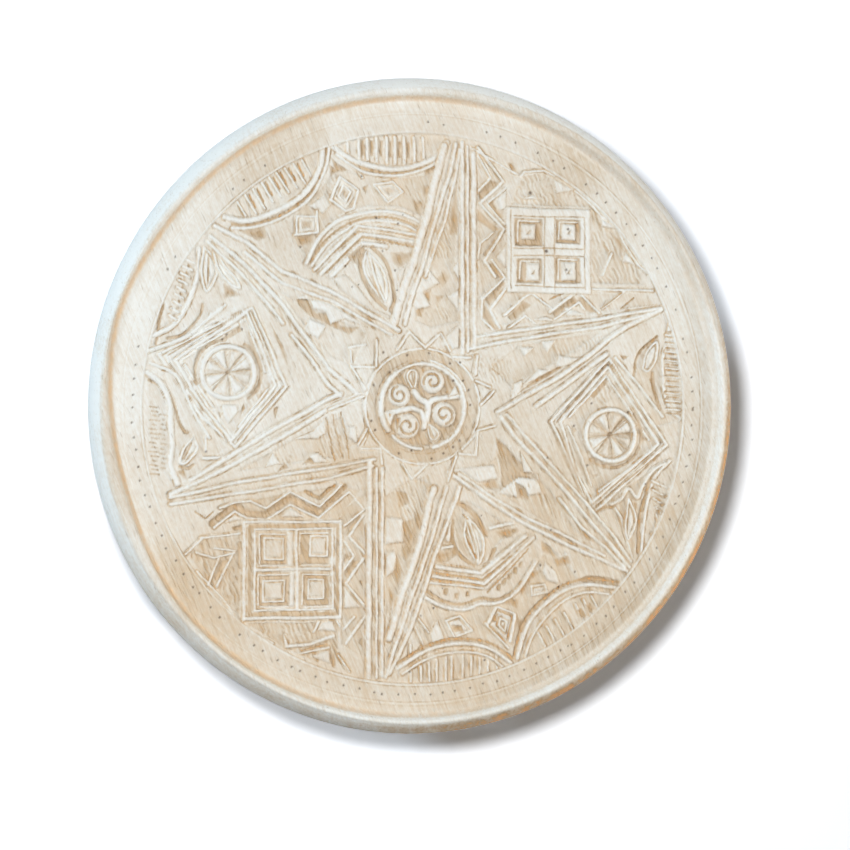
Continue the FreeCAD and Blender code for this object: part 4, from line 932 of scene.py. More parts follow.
ribs((3.2, [(-188, 97), (-262, 45), (-232, -4), (-203, -38), (-157, 20), (-188, 97)]),
     (3, [(-182, 102), (-279, 51), (-234, -14), (-199, -45), (-146, 19), (-182, 102)]),
     (2, [(-197, 84), (-240, 57)]), (2, [(-252, 40), (-222, -4)]), (2, [(-196, -24), (-166, 16)]),
     (2, [(-168, 34), (-184, 74)]), top=0.1)
groove(2, 1.1, 0.6, [(-193, 97), (-270, 50)], [(-268, 42), (-206, -40)], [(-197, -38), (-154, 14)],
       [(-153, 26), (-180, 92)])
plate(-0.3, [(-214, -1), (-197, -1), (-196, -8), (-206, -21), (-212, -12)], colour=0.2)
plate(-0.4, arc(-207, 33, 31)[:-1], colour=0.25)
groove(5, 1.6, 0.62, arc(-207, 33, 34.5, 95, 200), arc(-207, 33, 34.5, -50, 60))
rosette(-207, 33, 27.5, 29)
punch(1.5, 1.4, [(-193, 79), (-209, 73), (-229, -50), (-213, 68)])
tell("diamond and rosette")

# %% [markdown]
# Waves, small leaves and rows of short cuts fill the corners between the diamond and the edge. The
# rows are counted off with the same step, like the notches a carver sets out with a divider.

# %% Waves and leaves, left
groove(4.5, 1.9, 0.66, bent([(-288, 24), (-274, 16), (-264, 4), (-258, -18), (-251, -30)]),
       bent([(-282, 62), (-278, 88), (-275, 102)]),
       bent([(-270, 68), (-254, 72), (-238, 90), (-234, 104)]),
       bent([(-256, -66), (-248, -68), (-242, -64)]))
ribs((5, bent([(-238, 162), (-239, 138), (-246, 114), (-262, 84), (-284, 70)])),
     (4, bent([(-214, 101), (-234, 84), (-250, 70), (-290, 54)])),
     (6, bent([(-290, 32), (-276, 20), (-268, 2), (-266, -20), (-264, -44), (-266, -64), (-258, -84)])),
     (3, bent([(-288, 42), (-262, 30), (-250, 8), (-240, -14), (-226, -36)])),
     (3.4, [(-232, -57), (-212, -56)]), (2.2, [(-230, -34), (-229, -50)]),
     (2.4, [(-226, 94), (-218, 96), (-210, 104)]), top=0)
chip(3, 0.8,
     *[[(-250 - k * 1.9, 147 - k * 7.4), (-244 - k * 2.2, 143 - k * 7.4),
        (-252 - k * 1.9, 141 - k * 7.4)]
       for k in range(8)])
ribs(*[(2.4, [(-253 - k * 1.9, 151 - k * 7.4), (-243 - k * 2.3, 147 - k * 7.4)]) for k in range(9)],
     top=-0.3)
groove(2, 0.9, 0.62,
       *[[(-288 + (k * 7 % 5), -4 - k * 4.6), (-280 + (k * 5 % 4), -5 - k * 4.6)] for k in range(16)],
       *[[(-277 + (k * 3 % 4), -12 - k * 5), (-270 - (k * 5 % 3), -13 - k * 5)] for k in range(12)])
leaf(-0.2, 2.4, [(-233, 164), (-222, 152), (-220, 136), (-230, 118), (-236, 140), (-233, 164)],
     [(-224, 168), (-212, 146), (-200, 132), (-196, 122), (-208, 128), (-220, 146), (-224, 168)],
     [(-242, -35), (-238, -48), (-250, -62), (-256, -62), (-252, -48), (-242, -35)], steps=4)
groove(2.6, 1.4, 0.6, [(-229, 154), (-229, 126)], [(-244, -42), (-252, -58)])
tell("waves and leaves")

# %% [markdown]
# The right diamond is taller, and deep chips were lifted at its upper corner, where the wood shows
# orange. It is measured anew, like the other sectors, and only the rosette is shared.

# %% Diamond and rosette, right
sink(2.0, 0.5, [(236, 34), (240, 62), (264, 82), (270, 40), (268, 10), (284, -14), (258, -20)],
     [(215, -94), (262, -60), (246, -90), (240, -130), (232, -168), (218, -120)])
plate(-0.2, [(139, -15), (207, 58), (276, -40), (186, -119)], colour=0.2)
inner = [(155, -15), (206, 43), (262, -38), (187, -98), (170, -62)]
sink(2.1, 0.5, inner, slope=2)
hatch(112, 5, 0.9, [(180, 10), (206, 36), (220, 16), (200, 4)],
      [(176, -30), (184, -64), (194, -80), (200, -60)])
sink(2.8, 0.9, [(200, -64), (220, -60), (234, -52), (230, -48), (212, -56), (198, -60)],
     [(240, -16), (247, -26), (246, -40), (241, -32)], [(186, -70), (196, -72), (190, -78)],
     [(162, -16), (172, -24), (166, -28)], [(182, 14), (205, 38), (208, 30), (190, 10)], slope=2)
chip(3.4, 0.95, [(186, 36), (207, 52), (206, 42), (194, 34)], [(206, -62), (212, -64), (208, -68)],
     [(226, -52), (231, -54), (227, -57)], [(244, -26), (250, -34), (242, -36)],
     [(234, -101), (238, -104), (236, -112)], [(182, -90), (188, -96), (183, -98)],
     [(217, 60), (230, 58), (224, 54)], [(252, 34), (262, 2), (264, 12), (258, 34)])
ribs((3.4, [(141, -15), (207, 55), (272, -39), (186, -115), (160, -52), (141, -15)]),
     (3.2, [(152, -15), (206, 46), (263, -38), (186, -102), (168, -68), (152, -15)]),
     (2.2, [(160, -20), (176, -54), (186, -84)]), (2.2, [(162, -10), (204, 36), (252, -34)]),
     (2.4, [(194, -90), (258, -44)]), top=0.1)
groove(2, 1.1, 0.6, [(147, -16), (204, 48)], [(210, 49), (266, -36)], [(148, -22), (184, -108)],
       [(190, -106), (262, -50)])
plate(-0.4, arc(208, -29, 31.5)[:-1], colour=0.25)
groove(5, 1.6, 0.62, arc(208, -29, 35, -75, 40), arc(208, -29, 35, 230, 285))
rosette(208, -29, 28, 28)
punch(1.6, 1.6,
      [(200, 44), (194, 38), (206, 48), (167, -19), (182, -62), (187, 6), (137, -54), (265, -37),
       (247, -82), (228, -4)])
tell("diamond and rosette")

# %% [markdown]
# Its corners repeat the waves and leaves. Two ladders of short ribs stand along the edge of the field,
# one above and one below. A loop counter sets their rungs, so that the lower ladder can bend.

# %% Waves and leaves, right
groove(4.5, 1.9, 0.66, bent([(235, 33), (240, 60), (262, 80)]), bent([(256, 40), (258, 25), (265, 0)]),
       bent([(268, -63), (252, -78), (247, -96), (240, -120), (238, -156)]),
       bent([(189, -114), (200, -108), (210, -107)]))
ribs((4, bent([(278, 98), (272, 70), (268, 50), (270, 20), (278, 0), (290, -12)])),
     (3.4, bent([(276, -56), (258, -74), (251, -96), (245, -122), (242, -156)])),
     (4, bent([(270, -59), (256, -67), (244, -84), (238, -97), (228, -87), (220, -98), (208, -104)])),
     (3, bent([(212, -108), (220, -122), (230, -156), (233, -172)])),
     (3, [(214, 56), (238, 30), (268, -8)]), (2.2, [(286, -68), (268, -118), (240, -170)]), top=0)
ribs(*[(2, [(272, 82 - 9 * k), (288, 80 - 9 * k)]) for k in range(10)], top=-0.5)
groove(2, 1, 0.7, *[[(272, 86 - 6 * k), (286, 85 - 6 * k)] for k in range(16)])
ribs(*[(2, [(254 + 1.4 * k, -78 - 10 * k + k * k * 0.2), (272 - 2.6 * k, -86 - 9 * k)])
       for k in range(8)],
     top=-0.5)
chip(3, 0.9,
     *[[(x, y), (x + 6, y - 2), (x + 2, y - 5)]
       for x, y in ((256, -117), (260, -109), (264, -102), (267, -93), (250, -134), (246, -146))])
leaf(-0.1, 2.4, [(245, 44), (250, 62), (262, 74), (261, 56), (252, 42), (245, 44)],
     [(228, -98), (224, -128), (228, -142), (236, -120), (228, -98)], steps=4)
tell("waves and leaves")

# %% [markdown]
# Six long rays run from the middle to the edge and make the star. They are carved after the sectors,
# so that their borders stay whole. First their ground goes down, with deep tan hollows where a stepped
# edge will stand over it.

# %% Ground of the rays
sink(2.4, 0.5, [(40, 250), (37, 160), (42, 92), (10, 84), (-10, 92), (2, 140), (20, 200)],
     [(205, 86), (105, 68), (75, 45), (98, 20), (150, 52)],
     [(205, -152), (150, -133), (60, -80), (88, -40), (140, -88), (170, -132)],
     [(-40, -225), (-41, -95), (-10, -75), (18, -85), (-8, -150), (-26, -205)],
     [(-200, -72), (-100, -56), (-68, -40), (-88, -12), (-150, -42)],
     [(-190, 152), (-150, 118), (-60, 78), (-75, 40), (-100, 52), (-150, 112)])
sink(3, 0.95,
     [(-138, 113), (-124, 116), (-120, 106), (-114, 99), (-94, 99), (-89, 85), (-68, 84), (-78, 75),
      (-98, 82), (-122, 94), (-134, 105)],
     [(79, -31), (92, -42), (110, -62), (119, -78), (104, -99), (92, -96), (86, -86), (84, -60)],
     [(62, -82), (80, -77), (86, -88), (70, -88)], [(-92, -28), (-86, -32), (-86, -40), (-90, -38)],
     [(0, 121), (11, 128), (9, 112), (2, 114)], [(-9, 105), (3, 110), (0, 96), (-7, 96)],
     [(106, 10), (118, 20), (124, 17), (112, 8)],
     [(-36, -120), (-22, -122), (-8, -118), (-12, -142), (-20, -150), (-22, -130)],
     [(-30, -88), (-16, -92), (-12, -104), (-26, -110)], slope=2.5)
tell("ground of the rays")

# %% [markdown]
# Stepped plates stand along the borders inside each ray. On the real table they are what is left of
# the surface between two rows of cuts.

# %% Steps in the rays
plate(-0.2, [(28, -67), (78, -62), (83, -76), (62, -81), (50, -78)],
      [(-80, -24), (-72, -20), (-70, -42), (-80, -34)], [(100, 26), (110, 30), (108, 14), (96, 8)],
      [(4, 150), (19, 134), (1, 123), (9, 108), (-8, 104), (-12, 110), (-4, 135)],
      [(41, 160), (32, 150), (42, 131)], [(41, 128), (27, 119), (41, 100)],
      [(20, 70), (40, 90), (41, 64), (24, 60)], [(110, 24), (127, 42), (146, 41), (128, 32)],
      [(146, 43), (150, 58), (176, 55), (160, 47)], [(105, 66), (112, 56), (124, 66)],
      [(130, 72), (138, 60), (148, 74)],
      [(105, -75), (126, -77), (131, -92), (118, -95), (102, -97), (80, -92)],
      [(107, -46), (110, -70), (126, -72), (128, -82), (116, -62)],
      [(-40, -118), (-22, -120), (-20, -144), (-40, -147)],
      [(-40, -160), (-30, -152), (-26, -170), (-40, -182)],
      [(-121, -53), (-112, -50), (-100, -60), (-128, -63)],
      [(-137, -36), (-118, -28), (-106, -15), (-104, -30), (-112, -36)],
      [(-168, -66), (-160, -50), (-152, -62)],
      [(-139, 112), (-124, 118), (-118, 102), (-105, 100), (-100, 86), (-85, 92), (-60, 84),
       (-100, 112)],
      [(-130, 78), (-112, 70), (-104, 84), (-122, 92)])
tell("steps in the rays")

# %% [markdown]
# Chips were lifted between the steps, and the ground that is left was scored along the grain. The
# scored lines lie closer than in the sectors, because the rays are narrow.

# %% Chips and scored ground in the rays
chip(3.2, 0.95, [(38, 248), (30, 205), (27, 185), (38, 186), (39, 215)],
     [(22, 150), (30, 140), (22, 128), (16, 138)], [(12, 121), (24, 120), (16, 108)],
     [(103, 14), (128, 28), (155, 45), (150, 46), (126, 33)],
     [(100, -80), (112, -86), (118, -100), (104, -98)],
     [(160, -113), (178, -128), (192, -148), (176, -138)],
     [(-20, -140), (-5, -105), (0, -120), (-8, -150), (-18, -165), (-24, -158)],
     [(-28, -155), (-22, -175), (-27, -195), (-33, -178)], [(-36, -190), (-30, -200), (-36, -228)],
     [(-155, -70), (-148, -60), (-143, -67)], [(-128, -62), (-121, -54), (-115, -62)],
     [(-165, 90), (-152, 58), (-141, 30), (-150, 62)])
hatch(112, 4, 0.9, [(-112, -14), (-86, -6), (-82, -40), (-80, -57), (-112, -56)],
      [(84, -30), (100, -46), (106, -70), (100, -98), (86, -88), (78, -50)],
      [(62, 54), (98, 52), (98, 30), (80, 24), (62, 34)],
      [(-30, -70), (-12, -80), (10, -70), (2, -130), (-22, -150)],
      [(5, 90), (34, 96), (30, 120), (14, 108)])
hatch(112, 4.2, 0.8, [(140, 66), (205, 82), (196, 66), (150, 56)],
      [(-150, -84), (-100, -76), (-100, -67), (-150, -75)],
      [(-160, -30), (-136, -40), (-140, -66), (-156, -64)],
      [(-160, 100), (-104, 44), (-110, 70), (-150, 108)],
      [(110, -78), (140, -96), (165, -128), (130, -112)], [(0, 190), (30, 205), (34, 160), (8, 160)])
tell("chips in the rays")

# %% [markdown]
# The borders of the rays are double and triple ribs that meet at the points of the star. Most run in
# one line from the middle to the edge, with a few points on the way where the hand went off straight.

# %% Borders of the rays
ribs((8, [(24, 282), (15, 250), (3, 200), (-12, 150), (-26, 110), (-31, 90)]),
     (4, [(37, 286), (29, 250), (13, 200), (0, 150), (-14, 110), (-19, 88)]),
     (3, [(41, 280), (36, 250), (24, 200), (8, 155), (3, 140)]), (5, [(43.5, 288), (43.5, 57)]),
     (3, [(49.5, 284), (49.5, 60)]), (6, [(56, 276), (56.5, 64)]),
     (4, [(60, 76), (100, 83), (150, 91), (200, 99), (270, 113)]),
     (4, [(52, 63), (100, 73), (150, 82), (200, 90), (266, 109)]),
     (5, [(82, -5), (105, 8), (150, 34), (185, 58), (205, 75), (230, 92), (268, 111)]),
     (5, [(125, 2), (150, 20), (185, 45), (205, 60)]),
     (5, [(85, -10), (100, -30), (150, -82), (176, -112), (206, -146), (228, -172)]),
     (4, [(150, -98), (175, -129), (200, -150), (222, -172)]),
     (4, [(92, -8), (140, -60), (188, -112), (212, -140), (230, -166)]),
     (5, [(28, -70), (60, -92), (100, -119), (150, -144), (229, -178)]),
     (4, [(40, -72), (75, -96), (110, -117), (160, -140), (200, -160)]), (6, [(-57, -60), (-58, -288)]),
     (3, [(-49.5, -66), (-49.5, -286)]), (4, [(-43.5, -66), (-43.5, -284)]),
     (7, [(12, -88), (8, -100), (-4, -150), (-22, -200), (-36, -246)]),
     (4, [(26, -86), (22, -100), (7, -150), (-11, -200), (-28, -250), (-40, -286)]),
     (4, [(40, -86), (36, -100), (13, -160), (0, -200), (-10, -228), (-25, -262), (-36, -282)]),
     (5, [(-245, -80), (-200, -52), (-150, -21), (-100, 7), (-88, 12)]),
     (5, [(-265, -95), (-200, -63), (-150, -34), (-100, -3), (-66, 12)]),
     (4, [(-265, -98), (-200, -83), (-150, -74), (-100, -66), (-52, -57)]),
     (4, [(-265, -105), (-200, -94), (-150, -86), (-100, -77), (-54, -64)]),
     (5, [(-222, 187), (-190, 172), (-150, 141), (-100, 122), (-26, 81)]),
     (4, [(-190, 160), (-150, 128), (-100, 112), (-34, 76)]),
     (5, [(-226, 176), (-205, 160), (-185, 142), (-150, 105), (-100, 38), (-66, 8)]),
     (4, [(-229, 170), (-215, 157), (-195, 138), (-165, 105), (-150, 86)]),
     (4, [(-140, 74), (-120, 48), (-102, 22), (-88, 10)]))
ribs((3, bent([(-67, -45), (-61, -30), (-60, -18), (-63, 0)])), (3, [(56, 37), (59, 55)]),
     (2.4, [(-78, 61), (-76, 40), (-64, 14)]), top=-0.2)
groove(1.8, 1.2, 0.8, [(-97, -10), (-91, -34), (-86, -54)], [(-88, -8), (-82, -34), (-79, -56)],
       [(-104, -14), (-98, -40), (-94, -58)], [(76, 42), (84, 36)])
tell("borders of the rays")

# %% [markdown]
# A round medallion lies in the middle: a ring with punched dots, and inside it a deep ground with four
# scrolls and two drops. Each lobe is a plate with a spiral or a seam cut into it, and thick stems join
# the lobes.

# %% Medallion lobes
sink(1.7, 0.62, arc(0, 0, 61)[:-1])
plate(-0.5, arc(0, 0, 47)[:-1], colour=0.3)
sink(3.0, 0.78, arc(0, 0, 43)[:-1], slope=2)
drops = ([(-9, 14), (-16, 22), (-20.5, 32), (-17, 41), (-9, 42), (-4, 33), (-5, 23), (-9, 14)],
         [(4, -16), (3, -24), (4, -33), (10, -39.5), (17, -37), (20, -29), (13, -21), (4, -16)])
whorls = ((-25.5, 11.5, 12.5, 100, 1), (10.5, 27, 13, 200, -1), (23, -8.5, 13.5, 280, 1),
          (-17, -21, 13.5, 20, -1))
plate(0, *[arc(x, y, r)[:-1] for x, y, r, a, s in whorls], *[bent(d)[:-1] for d in drops], slope=3.5,
      colour=0.16)
groove(3.4, 1.9, 0.66, *[scroll(x, y, r - 3, 2.6, a, 1.15 * s) for x, y, r, a, s in whorls])
groove(2.6, 1.3, 0.5, [(-10, 19), (-12, 37)], [(6, -20), (12, -35)])
ribs((1.8, bent([(-9, 17), (-14, 24), (-17, 32), (-14, 38), (-9, 38), (-7, 32), (-9, 17)])),
     (1.8, bent([(5, -19), (6, -28), (9, -35), (14, -35), (17, -29), (11, -22), (5, -19)])), top=0.1,
     flank=0.4)
ribs((7, bent([(-9, 15), (-3, 8), (4, 4), (6, -3), (4, -14)])),
     (6, bent([(-38, -8), (-24, -5), (-11, -2.5), (-2, -6), (1, -14), (1, -22)])),
     (6, bent([(40, 11), (28, 10), (17, 9), (9, 6), (5, -2)])), top=0.1, flank=0.8)
plate(0, [(-40, -6), (-30, -7), (-35, -23), (-39, -16)], [(40, 14), (28, 11), (34, 22), (39, 20)],
      colour=0.1)
tell("medallion lobes")

# %% [markdown]
# The medallion's ring is thicker in some stretches than in others, so it is made of several arcs. Thin
# ribs set small triangles round it, and the dots were struck last.

# %% Medallion ring and triangles
ribs((2.4, arc(0, 0, 62)), top=-0.2)
ribs((4.4, arc(0, 0, 45.5, 28, 96)), (6, arc(0, 0, 45.5, 130, 215)), (4, arc(0, 0, 45.5, 225, 268)),
     (5, arc(0, 0, 45.5, 285, 385)), (3, arc(0, 0, 45.5, 96, 130)), (2.4, arc(0, 0, 49.5, 20, 80)),
     top=0.1)
groove(2, 1, 0.6, arc(0, 0, 50.5, 110, 205), arc(0, 0, 51, 240, 330))
chip(3.6, 0.95, [(-8, 8), (-12, 2), (-5, 2)], [(21, 15), (30, 20), (28, 13)],
     [(-2, -16), (-6, -32), (0, -36)], [(20, -22), (24, -32), (29, -24)],
     [(-30, -12), (-27, -30), (-24, -12)], [(-2, 40), (4, 42), (0, 34)])
ribs((2.6, [(-28, 60), (-14, 80), (3, 63), (18, 77)]), (2.6, [(20, 78), (30, 60)]),
     (3, [(58, 35), (60, 55)]), (2.4, [(64, 3), (78, 18)]), (2.4, [(60, -25), (80, -20)]),
     (2.4, [(43, -45), (57, -30)]), (2.4, [(27, -80), (37, -53)]),
     (2.6, [(-22, -62), (-12, -78), (5, -62)]), (2.4, [(-60, -25), (-70, -42)]),
     (2.4, [(-62, 17), (-77, 42)]), (2.4, [(-80, 62), (-62, 65)]), (2.4, [(-50, 42), (-50, 70)]),
     (2.4, [(-74, 41), (-52, 41)]), (2.6, [(-64, 10), (-100, -5)]), (3, [(34, 54), (52, 53)]),
     (2.4, [(-66, -46), (-46, -46), (-44, -62)]), (2.4, [(60, -26), (58, -52), (40, -50)]),
     (2.4, [(58, 28), (74, 22)]), top=-0.3)
chip(3, 0.9, [(-10, 50), (-6, 47), (-4, 49), (-7, 51)], [(-38, -7), (-34, -9), (-36, -13)],
     [(27, -35), (36, -26), (30, -30)])
punch(1.6, 1.8,
      [(-43, 57), (-17, 55), (7, 57), (30, 47), (41, 48), (-35, 36), (-53, 22), (33, 28), (44, 28),
       (50, 18), (52, 2), (-55, -16), (-51, -26), (40, -36), (33, -43), (23, -50), (10, -56),
       (-26, -50), (-12, -47)])
tell("medallion ring")

# %% [markdown]
# The edge of the field is a thin rib, and the band outside it has an incised line. Both were set out
# with a compass, so they are cut by radius. The line is faint on the left.

# %% Edge of the field and incised line
compass = np.degrees(np.arctan2(true_north, true_east)) % 360
outside = ring_radius > FIELD + 0.4
height[outside], bare_and_shade[outside] = 0, BASE_WASH
edge_cut = np.clip(1 - np.abs(np.abs(ring_radius - FIELD) - 1.7) / 1.1, 0, 1)
height -= 0.45 * edge_cut
bare_and_shade = np.maximum(bare_and_shade, 0.46 * edge_cut)
edge_rib = np.clip(1.3 - np.abs(ring_radius - FIELD) / 1.2, 0, 1)
height = height * (1 - edge_rib) + 0.15 * edge_rib
bare_and_shade = bare_and_shade * (1 - edge_rib) + 0.1 * edge_rib
strength = np.interp(compass, (0, 60, 90, 250, 290, 360), (1, 0.9, 0.4, 0.35, 0.9, 1))
line_cut = np.clip(1 - np.abs(ring_radius - LINE) / 1.3, 0, 1)
line_sides = np.clip(1 - np.abs(np.abs(ring_radius - LINE) - 1.6) / 1.0, 0, 1)
height -= 0.55 * strength * line_cut
bare_and_shade += strength * (0.2 * line_sides - 0.16 * line_cut)
print("plain band of", int(outside.sum()), "vertices")

# %% [markdown]
# A ring of dots was struck with an awl along the band. The arm was not even, so the dots wander a
# little, and many are missing at the upper left.

# %% Ring of dots
DOT_RING, DOT_STEP, DOTS = 304.6, 2.9, 125
arm = np.random.default_rng(11)
dot_turn = np.radians(np.arange(0, 360, DOT_STEP)) + arm.normal(0, 0.006, DOTS)
dot_reach = DOT_RING + arm.normal(0, 0.7, DOTS)
struck = arm.random(DOTS) < np.interp(np.degrees(dot_turn), (60, 80, 160, 190), (0.9, 0.3, 0.3, 0.95))
dot_east, dot_north = ruler(dot_reach * np.cos(dot_turn), dot_reach * np.sin(dot_turn) - RING_LOW)
punch(1.5, 1.2, np.stack([dot_east, dot_north], axis=1)[struck])
print("dots:", int(struck.sum()))

# %% [markdown]
# One light sanding takes the grid's steps off the cuts. The wash was brushed on and wiped off over
# whole panels, so a densely carved panel did not end up darker than a plain one: half of the slow
# change in bare is taken out again.

# %% Sanding and wiping
DEPTH, MEDALLION, EVEN_WASH = 1.55, 62, 0.29
height = DEPTH * sanded(height, 1)
pooled = sanded(bare_and_shade, 160)
panels = (ring_radius < FIELD) & (ring_radius > MEDALLION)
bare_and_shade = bare_and_shade - np.where(panels, 0.5 * (pooled - EVEN_WASH), 0)
print("carving from", height.min().round(2), "to", height.max().round(2), "mm")

# %% [markdown]
# The lip was shaped by hand, so its inner wall wanders in and out. A swell is a smooth rise round one
# angle of the compass; a few of them make the line of the wall, and later the wear.

# %% Lip that wanders
def swell(middle, width):
    """1 at an angle of the compass, falling off on both sides."""
    return np.exp(-(((compass - middle + 180) % 360 - 180) / width) ** 2)


turned_radius = section[ring, 0]
wander = 4.5 * swell(163, 11) - 6.5 * swell(197, 16) - 1.5 * swell(85, 28)
on_lip = np.interp(turned_radius, (317, 327, 334, 338.5), (0, 1, 1, 0))
stretch = 1 + wander * on_lip / np.maximum(turned_radius, 1)
print("lip wanders from", wander.min().round(1), "to", wander.max().round(1), "mm")

# %% [markdown]
# The wash has worn unevenly, and shade is painted into it. The top is painted a little darker and
# warmer towards the lower right, away from the light. Some patches of the band are rubbed. The top of
# the lip is white, a little thinner at the left and at the upper right, and its outer part on the lower
# right is painted darker as shade. The outer wall is painted orange as shade on the lower right, most
# where it is widest, where it faces away from the lamps; the cove at the foot of the lip is painted
# darker on the left and at the top, where it is in shade.

# %% Wear of the wash and painted shade
LIP_TOP, OUTER_WALL, LOWER_EDGE = 332.0, 339.5, 377
crest, wall = (int(np.argmax(section[:, 0] > r)) for r in (LIP_TOP, OUTER_WALL))
# Painted light: darker and warmer towards the lower right, lighter towards the upper left.
bare_and_shade = bare_and_shade + 0.07 * (true_east - 1.3 * true_north) / 450
patchy = sum(share * swell(middle, width) for share, middle, width in (
    (0.14, 56, 9), (0.16, 124, 12), (-0.05, 165, 28), (0.18, 216, 11), (0.07, 322, 25), (-0.08, 20, 28)))
bare_and_shade = bare_and_shade + np.where(ring_radius > FIELD, patchy, 0.3 * patchy) - 0.06 * swell(176, 27)
lip_top_wash_and_shade = 0.1 + 0.16 * swell(190, 40) + 0.22 * swell(50, 28)
# Painted shade: the outer part of the lip's top is darker on the lower right, where it turns away from the
# light.
lip_top_wash_and_shade = lip_top_wash_and_shade + 0.2 * swell(315, 50) * np.interp(turned_radius, (335.5, 340), (0, 1))
bare_and_shade = np.where((ring >= crest) & (ring < wall), lip_top_wash_and_shade, bare_and_shade)
AROUND = (0, 40, 70, 100, 235, 265, 345, 360)
in_cove = np.interp(turned_radius, (325, 327.8, 330.5, 333), (0, 1, 1, 0))
# Painted shade: the cove is darker on the left and at the top, where its wall faces away from the lamps.
cove_shade = np.interp(compass, AROUND, (0.18, 0.2, 0.24, 0.3, 0.36, 0.28, 0.18, 0.18))
bare_and_shade = bare_and_shade + in_cove * (cove_shade - bare_and_shade)
# Painted shade: the outer wall is orange where it faces away from the lamps, most on the lower right; the
# noise breaks it up like worn wood.
down_outer_wall = np.interp(turned_radius, (339.5, 341.5, 343.5), (0.35, 0.6, 1))
outer_wall_shade = np.interp(compass, (0, 15, 45, 70, 120, 200, 212, 235, 262, 285, 345, 360),
                         (0.7, 0.3, 0.1, 0.04, 0.03, 0.02, 0.24, 0.2, 0.32, 0.92, 0.97, 0.75))
bare_and_shade = np.where(ring >= wall, outer_wall_shade * down_outer_wall * (0.9 + 0.2 * uneven + 0.12 * ragged), bare_and_shade)
bare_and_shade[section[ring, 1] < LOWER_EDGE] = 0.5
print("bare from", bare_and_shade.min().round(2), "to", bare_and_shade.max().round(2))

# %% [markdown]
# A warm tint is painted in two places. In the cove at the foot of the lip, most on the left and at the
# top, it turns the painted shade there a light orange. As a thin film, mostly over the lower part of
# the top, it is a painted warm light. One more number for each vertex holds how strong the tint is.

# %% Painted warm tint
painted_warmth = in_cove * np.interp(compass, AROUND, (0.1, 0.12, 0.35, 0.58, 0.68, 0.4, 0.12, 0.1))
film = 0.18 * swell(262, 55) + 0.1 * swell(218, 14) + 0.13 * swell(85, 25)
painted_warmth = painted_warmth + film * np.interp(turned_radius, (0, 90, 322, 327), (0.4, 1, 1, 0))
painted_warmth = painted_warmth * (0.85 + 0.25 * uneven + 0.25 * ragged)
print("wax up to", painted_warmth.max().round(2))

# %% [markdown]
# Now the numbers go into the mesh: the heights move its vertices, and the bare amount with its painted
# shade, pit and the painted warm tint become attributes that the finish can read. Writing them with
# foreach_set takes one call for each, which is far quicker than a loop over 350,000 vertices.

# %% Heights into the mesh
level = section[ring, 1] + np.where(turned_radius < LIP_FOOT - 1, height, 0)
board_x, board_y = board_x * stretch, board_y * stretch
spots = np.stack([board_x, board_y, level], axis=1) / 1000
disc_mesh.vertices.foreach_set("co", spots.ravel())
for name, values in (("bare_and_shade", bare_and_shade), ("pit", pit), ("painted_warmth", painted_warmth)):
    layer = disc_mesh.attributes.new(name, "FLOAT", "POINT")
    layer.data.foreach_set("value", values)
disc_mesh.update()
print("disc stands from", spots[:, 2].min().round(4), "to", spots[:, 2].max().round(4), "m")

# %% [markdown]
# The underside is one face across the last ring. Then the disc is sawn into its five boards with
# bisect_plane: each cut keeps one side, and the cut is closed with one face. The edges of the new
# faces are marked sharp, so that the carved side keeps its own smooth shading up to the joint.

# %% Saw the disc into boards
SEAMS = (-0.210, -0.070, 0.070, 0.210)
whole = bmesh.new()
whole.from_mesh(disc_mesh)
rim = [edge for edge in whole.edges if edge.is_boundary]
bmesh.ops.contextual_create(whole, geom=rim)
for edge in rim:
    edge.smooth = False


def saw(solid, seam, keep_left):
    """Cut a solid at x = seam, keep one side and close the cut."""
    geometry = [*solid.verts, *solid.edges, *solid.faces]
    cut = bmesh.ops.bisect_plane(solid, geom=geometry, dist=1e-7, plane_co=(seam, 0, 0),
                                 plane_no=(1, 0, 0), clear_outer=keep_left,
                                 clear_inner=not keep_left)["geom_cut"]
    loop = [item for item in cut if isinstance(item, bmesh.types.BMEdge) and item.is_boundary]
    bmesh.ops.contextual_create(solid, geom=loop)
    for edge in loop:
        edge.smooth = False


boards = []
for seam in SEAMS:
    board = whole.copy()
    saw(board, seam, True)
    saw(whole, seam, False)
    boards.append(board)
boards.append(whole)
print("boards:", [len(board.faces) for board in boards], "faces")

# %% [markdown]
# Each board becomes an object. It gets a UV map that spreads the carved side flat over most of the
# square and puts the underside and the joints in a strip beside it. The map is only for baking; the
# finish itself reads object coordinates and the attributes.

# %% Boards as objects
TOP_RADIUS, BOARD_WIDTH = 0.350, 0.140
UNDERSIDE, THICKNESS, HALF_MAP = 0.364, 0.036, 0.351
CARVED_SHARE, UNDER_FROM, JOINT_FROM, STRIP = 0.92, 0.93, 0.965, 0.03


def lay_flat(board, low, high):
    """UV map: carved side from above, underside and joints in a strip."""
    layer = board.loops.layers.uv.new("OFBake")
    for face in board.faces:
        for loop in face.loops:
            x, y, z = loop.vert.co
            u, v = (x - low) / (high - low), (y + HALF_MAP) / (2 * HALF_MAP)
            if abs(face.normal.x) > 0.999:
                up = STRIP * (z - UNDERSIDE) / THICKNESS
                loop[layer].uv = (JOINT_FROM + up * (1 if face.normal.x > 0 else 0.5), v)
            elif face.normal.z < 0:
                loop[layer].uv = (UNDER_FROM + STRIP * u, v)
            else:
                loop[layer].uv = (CARVED_SHARE * u, v)


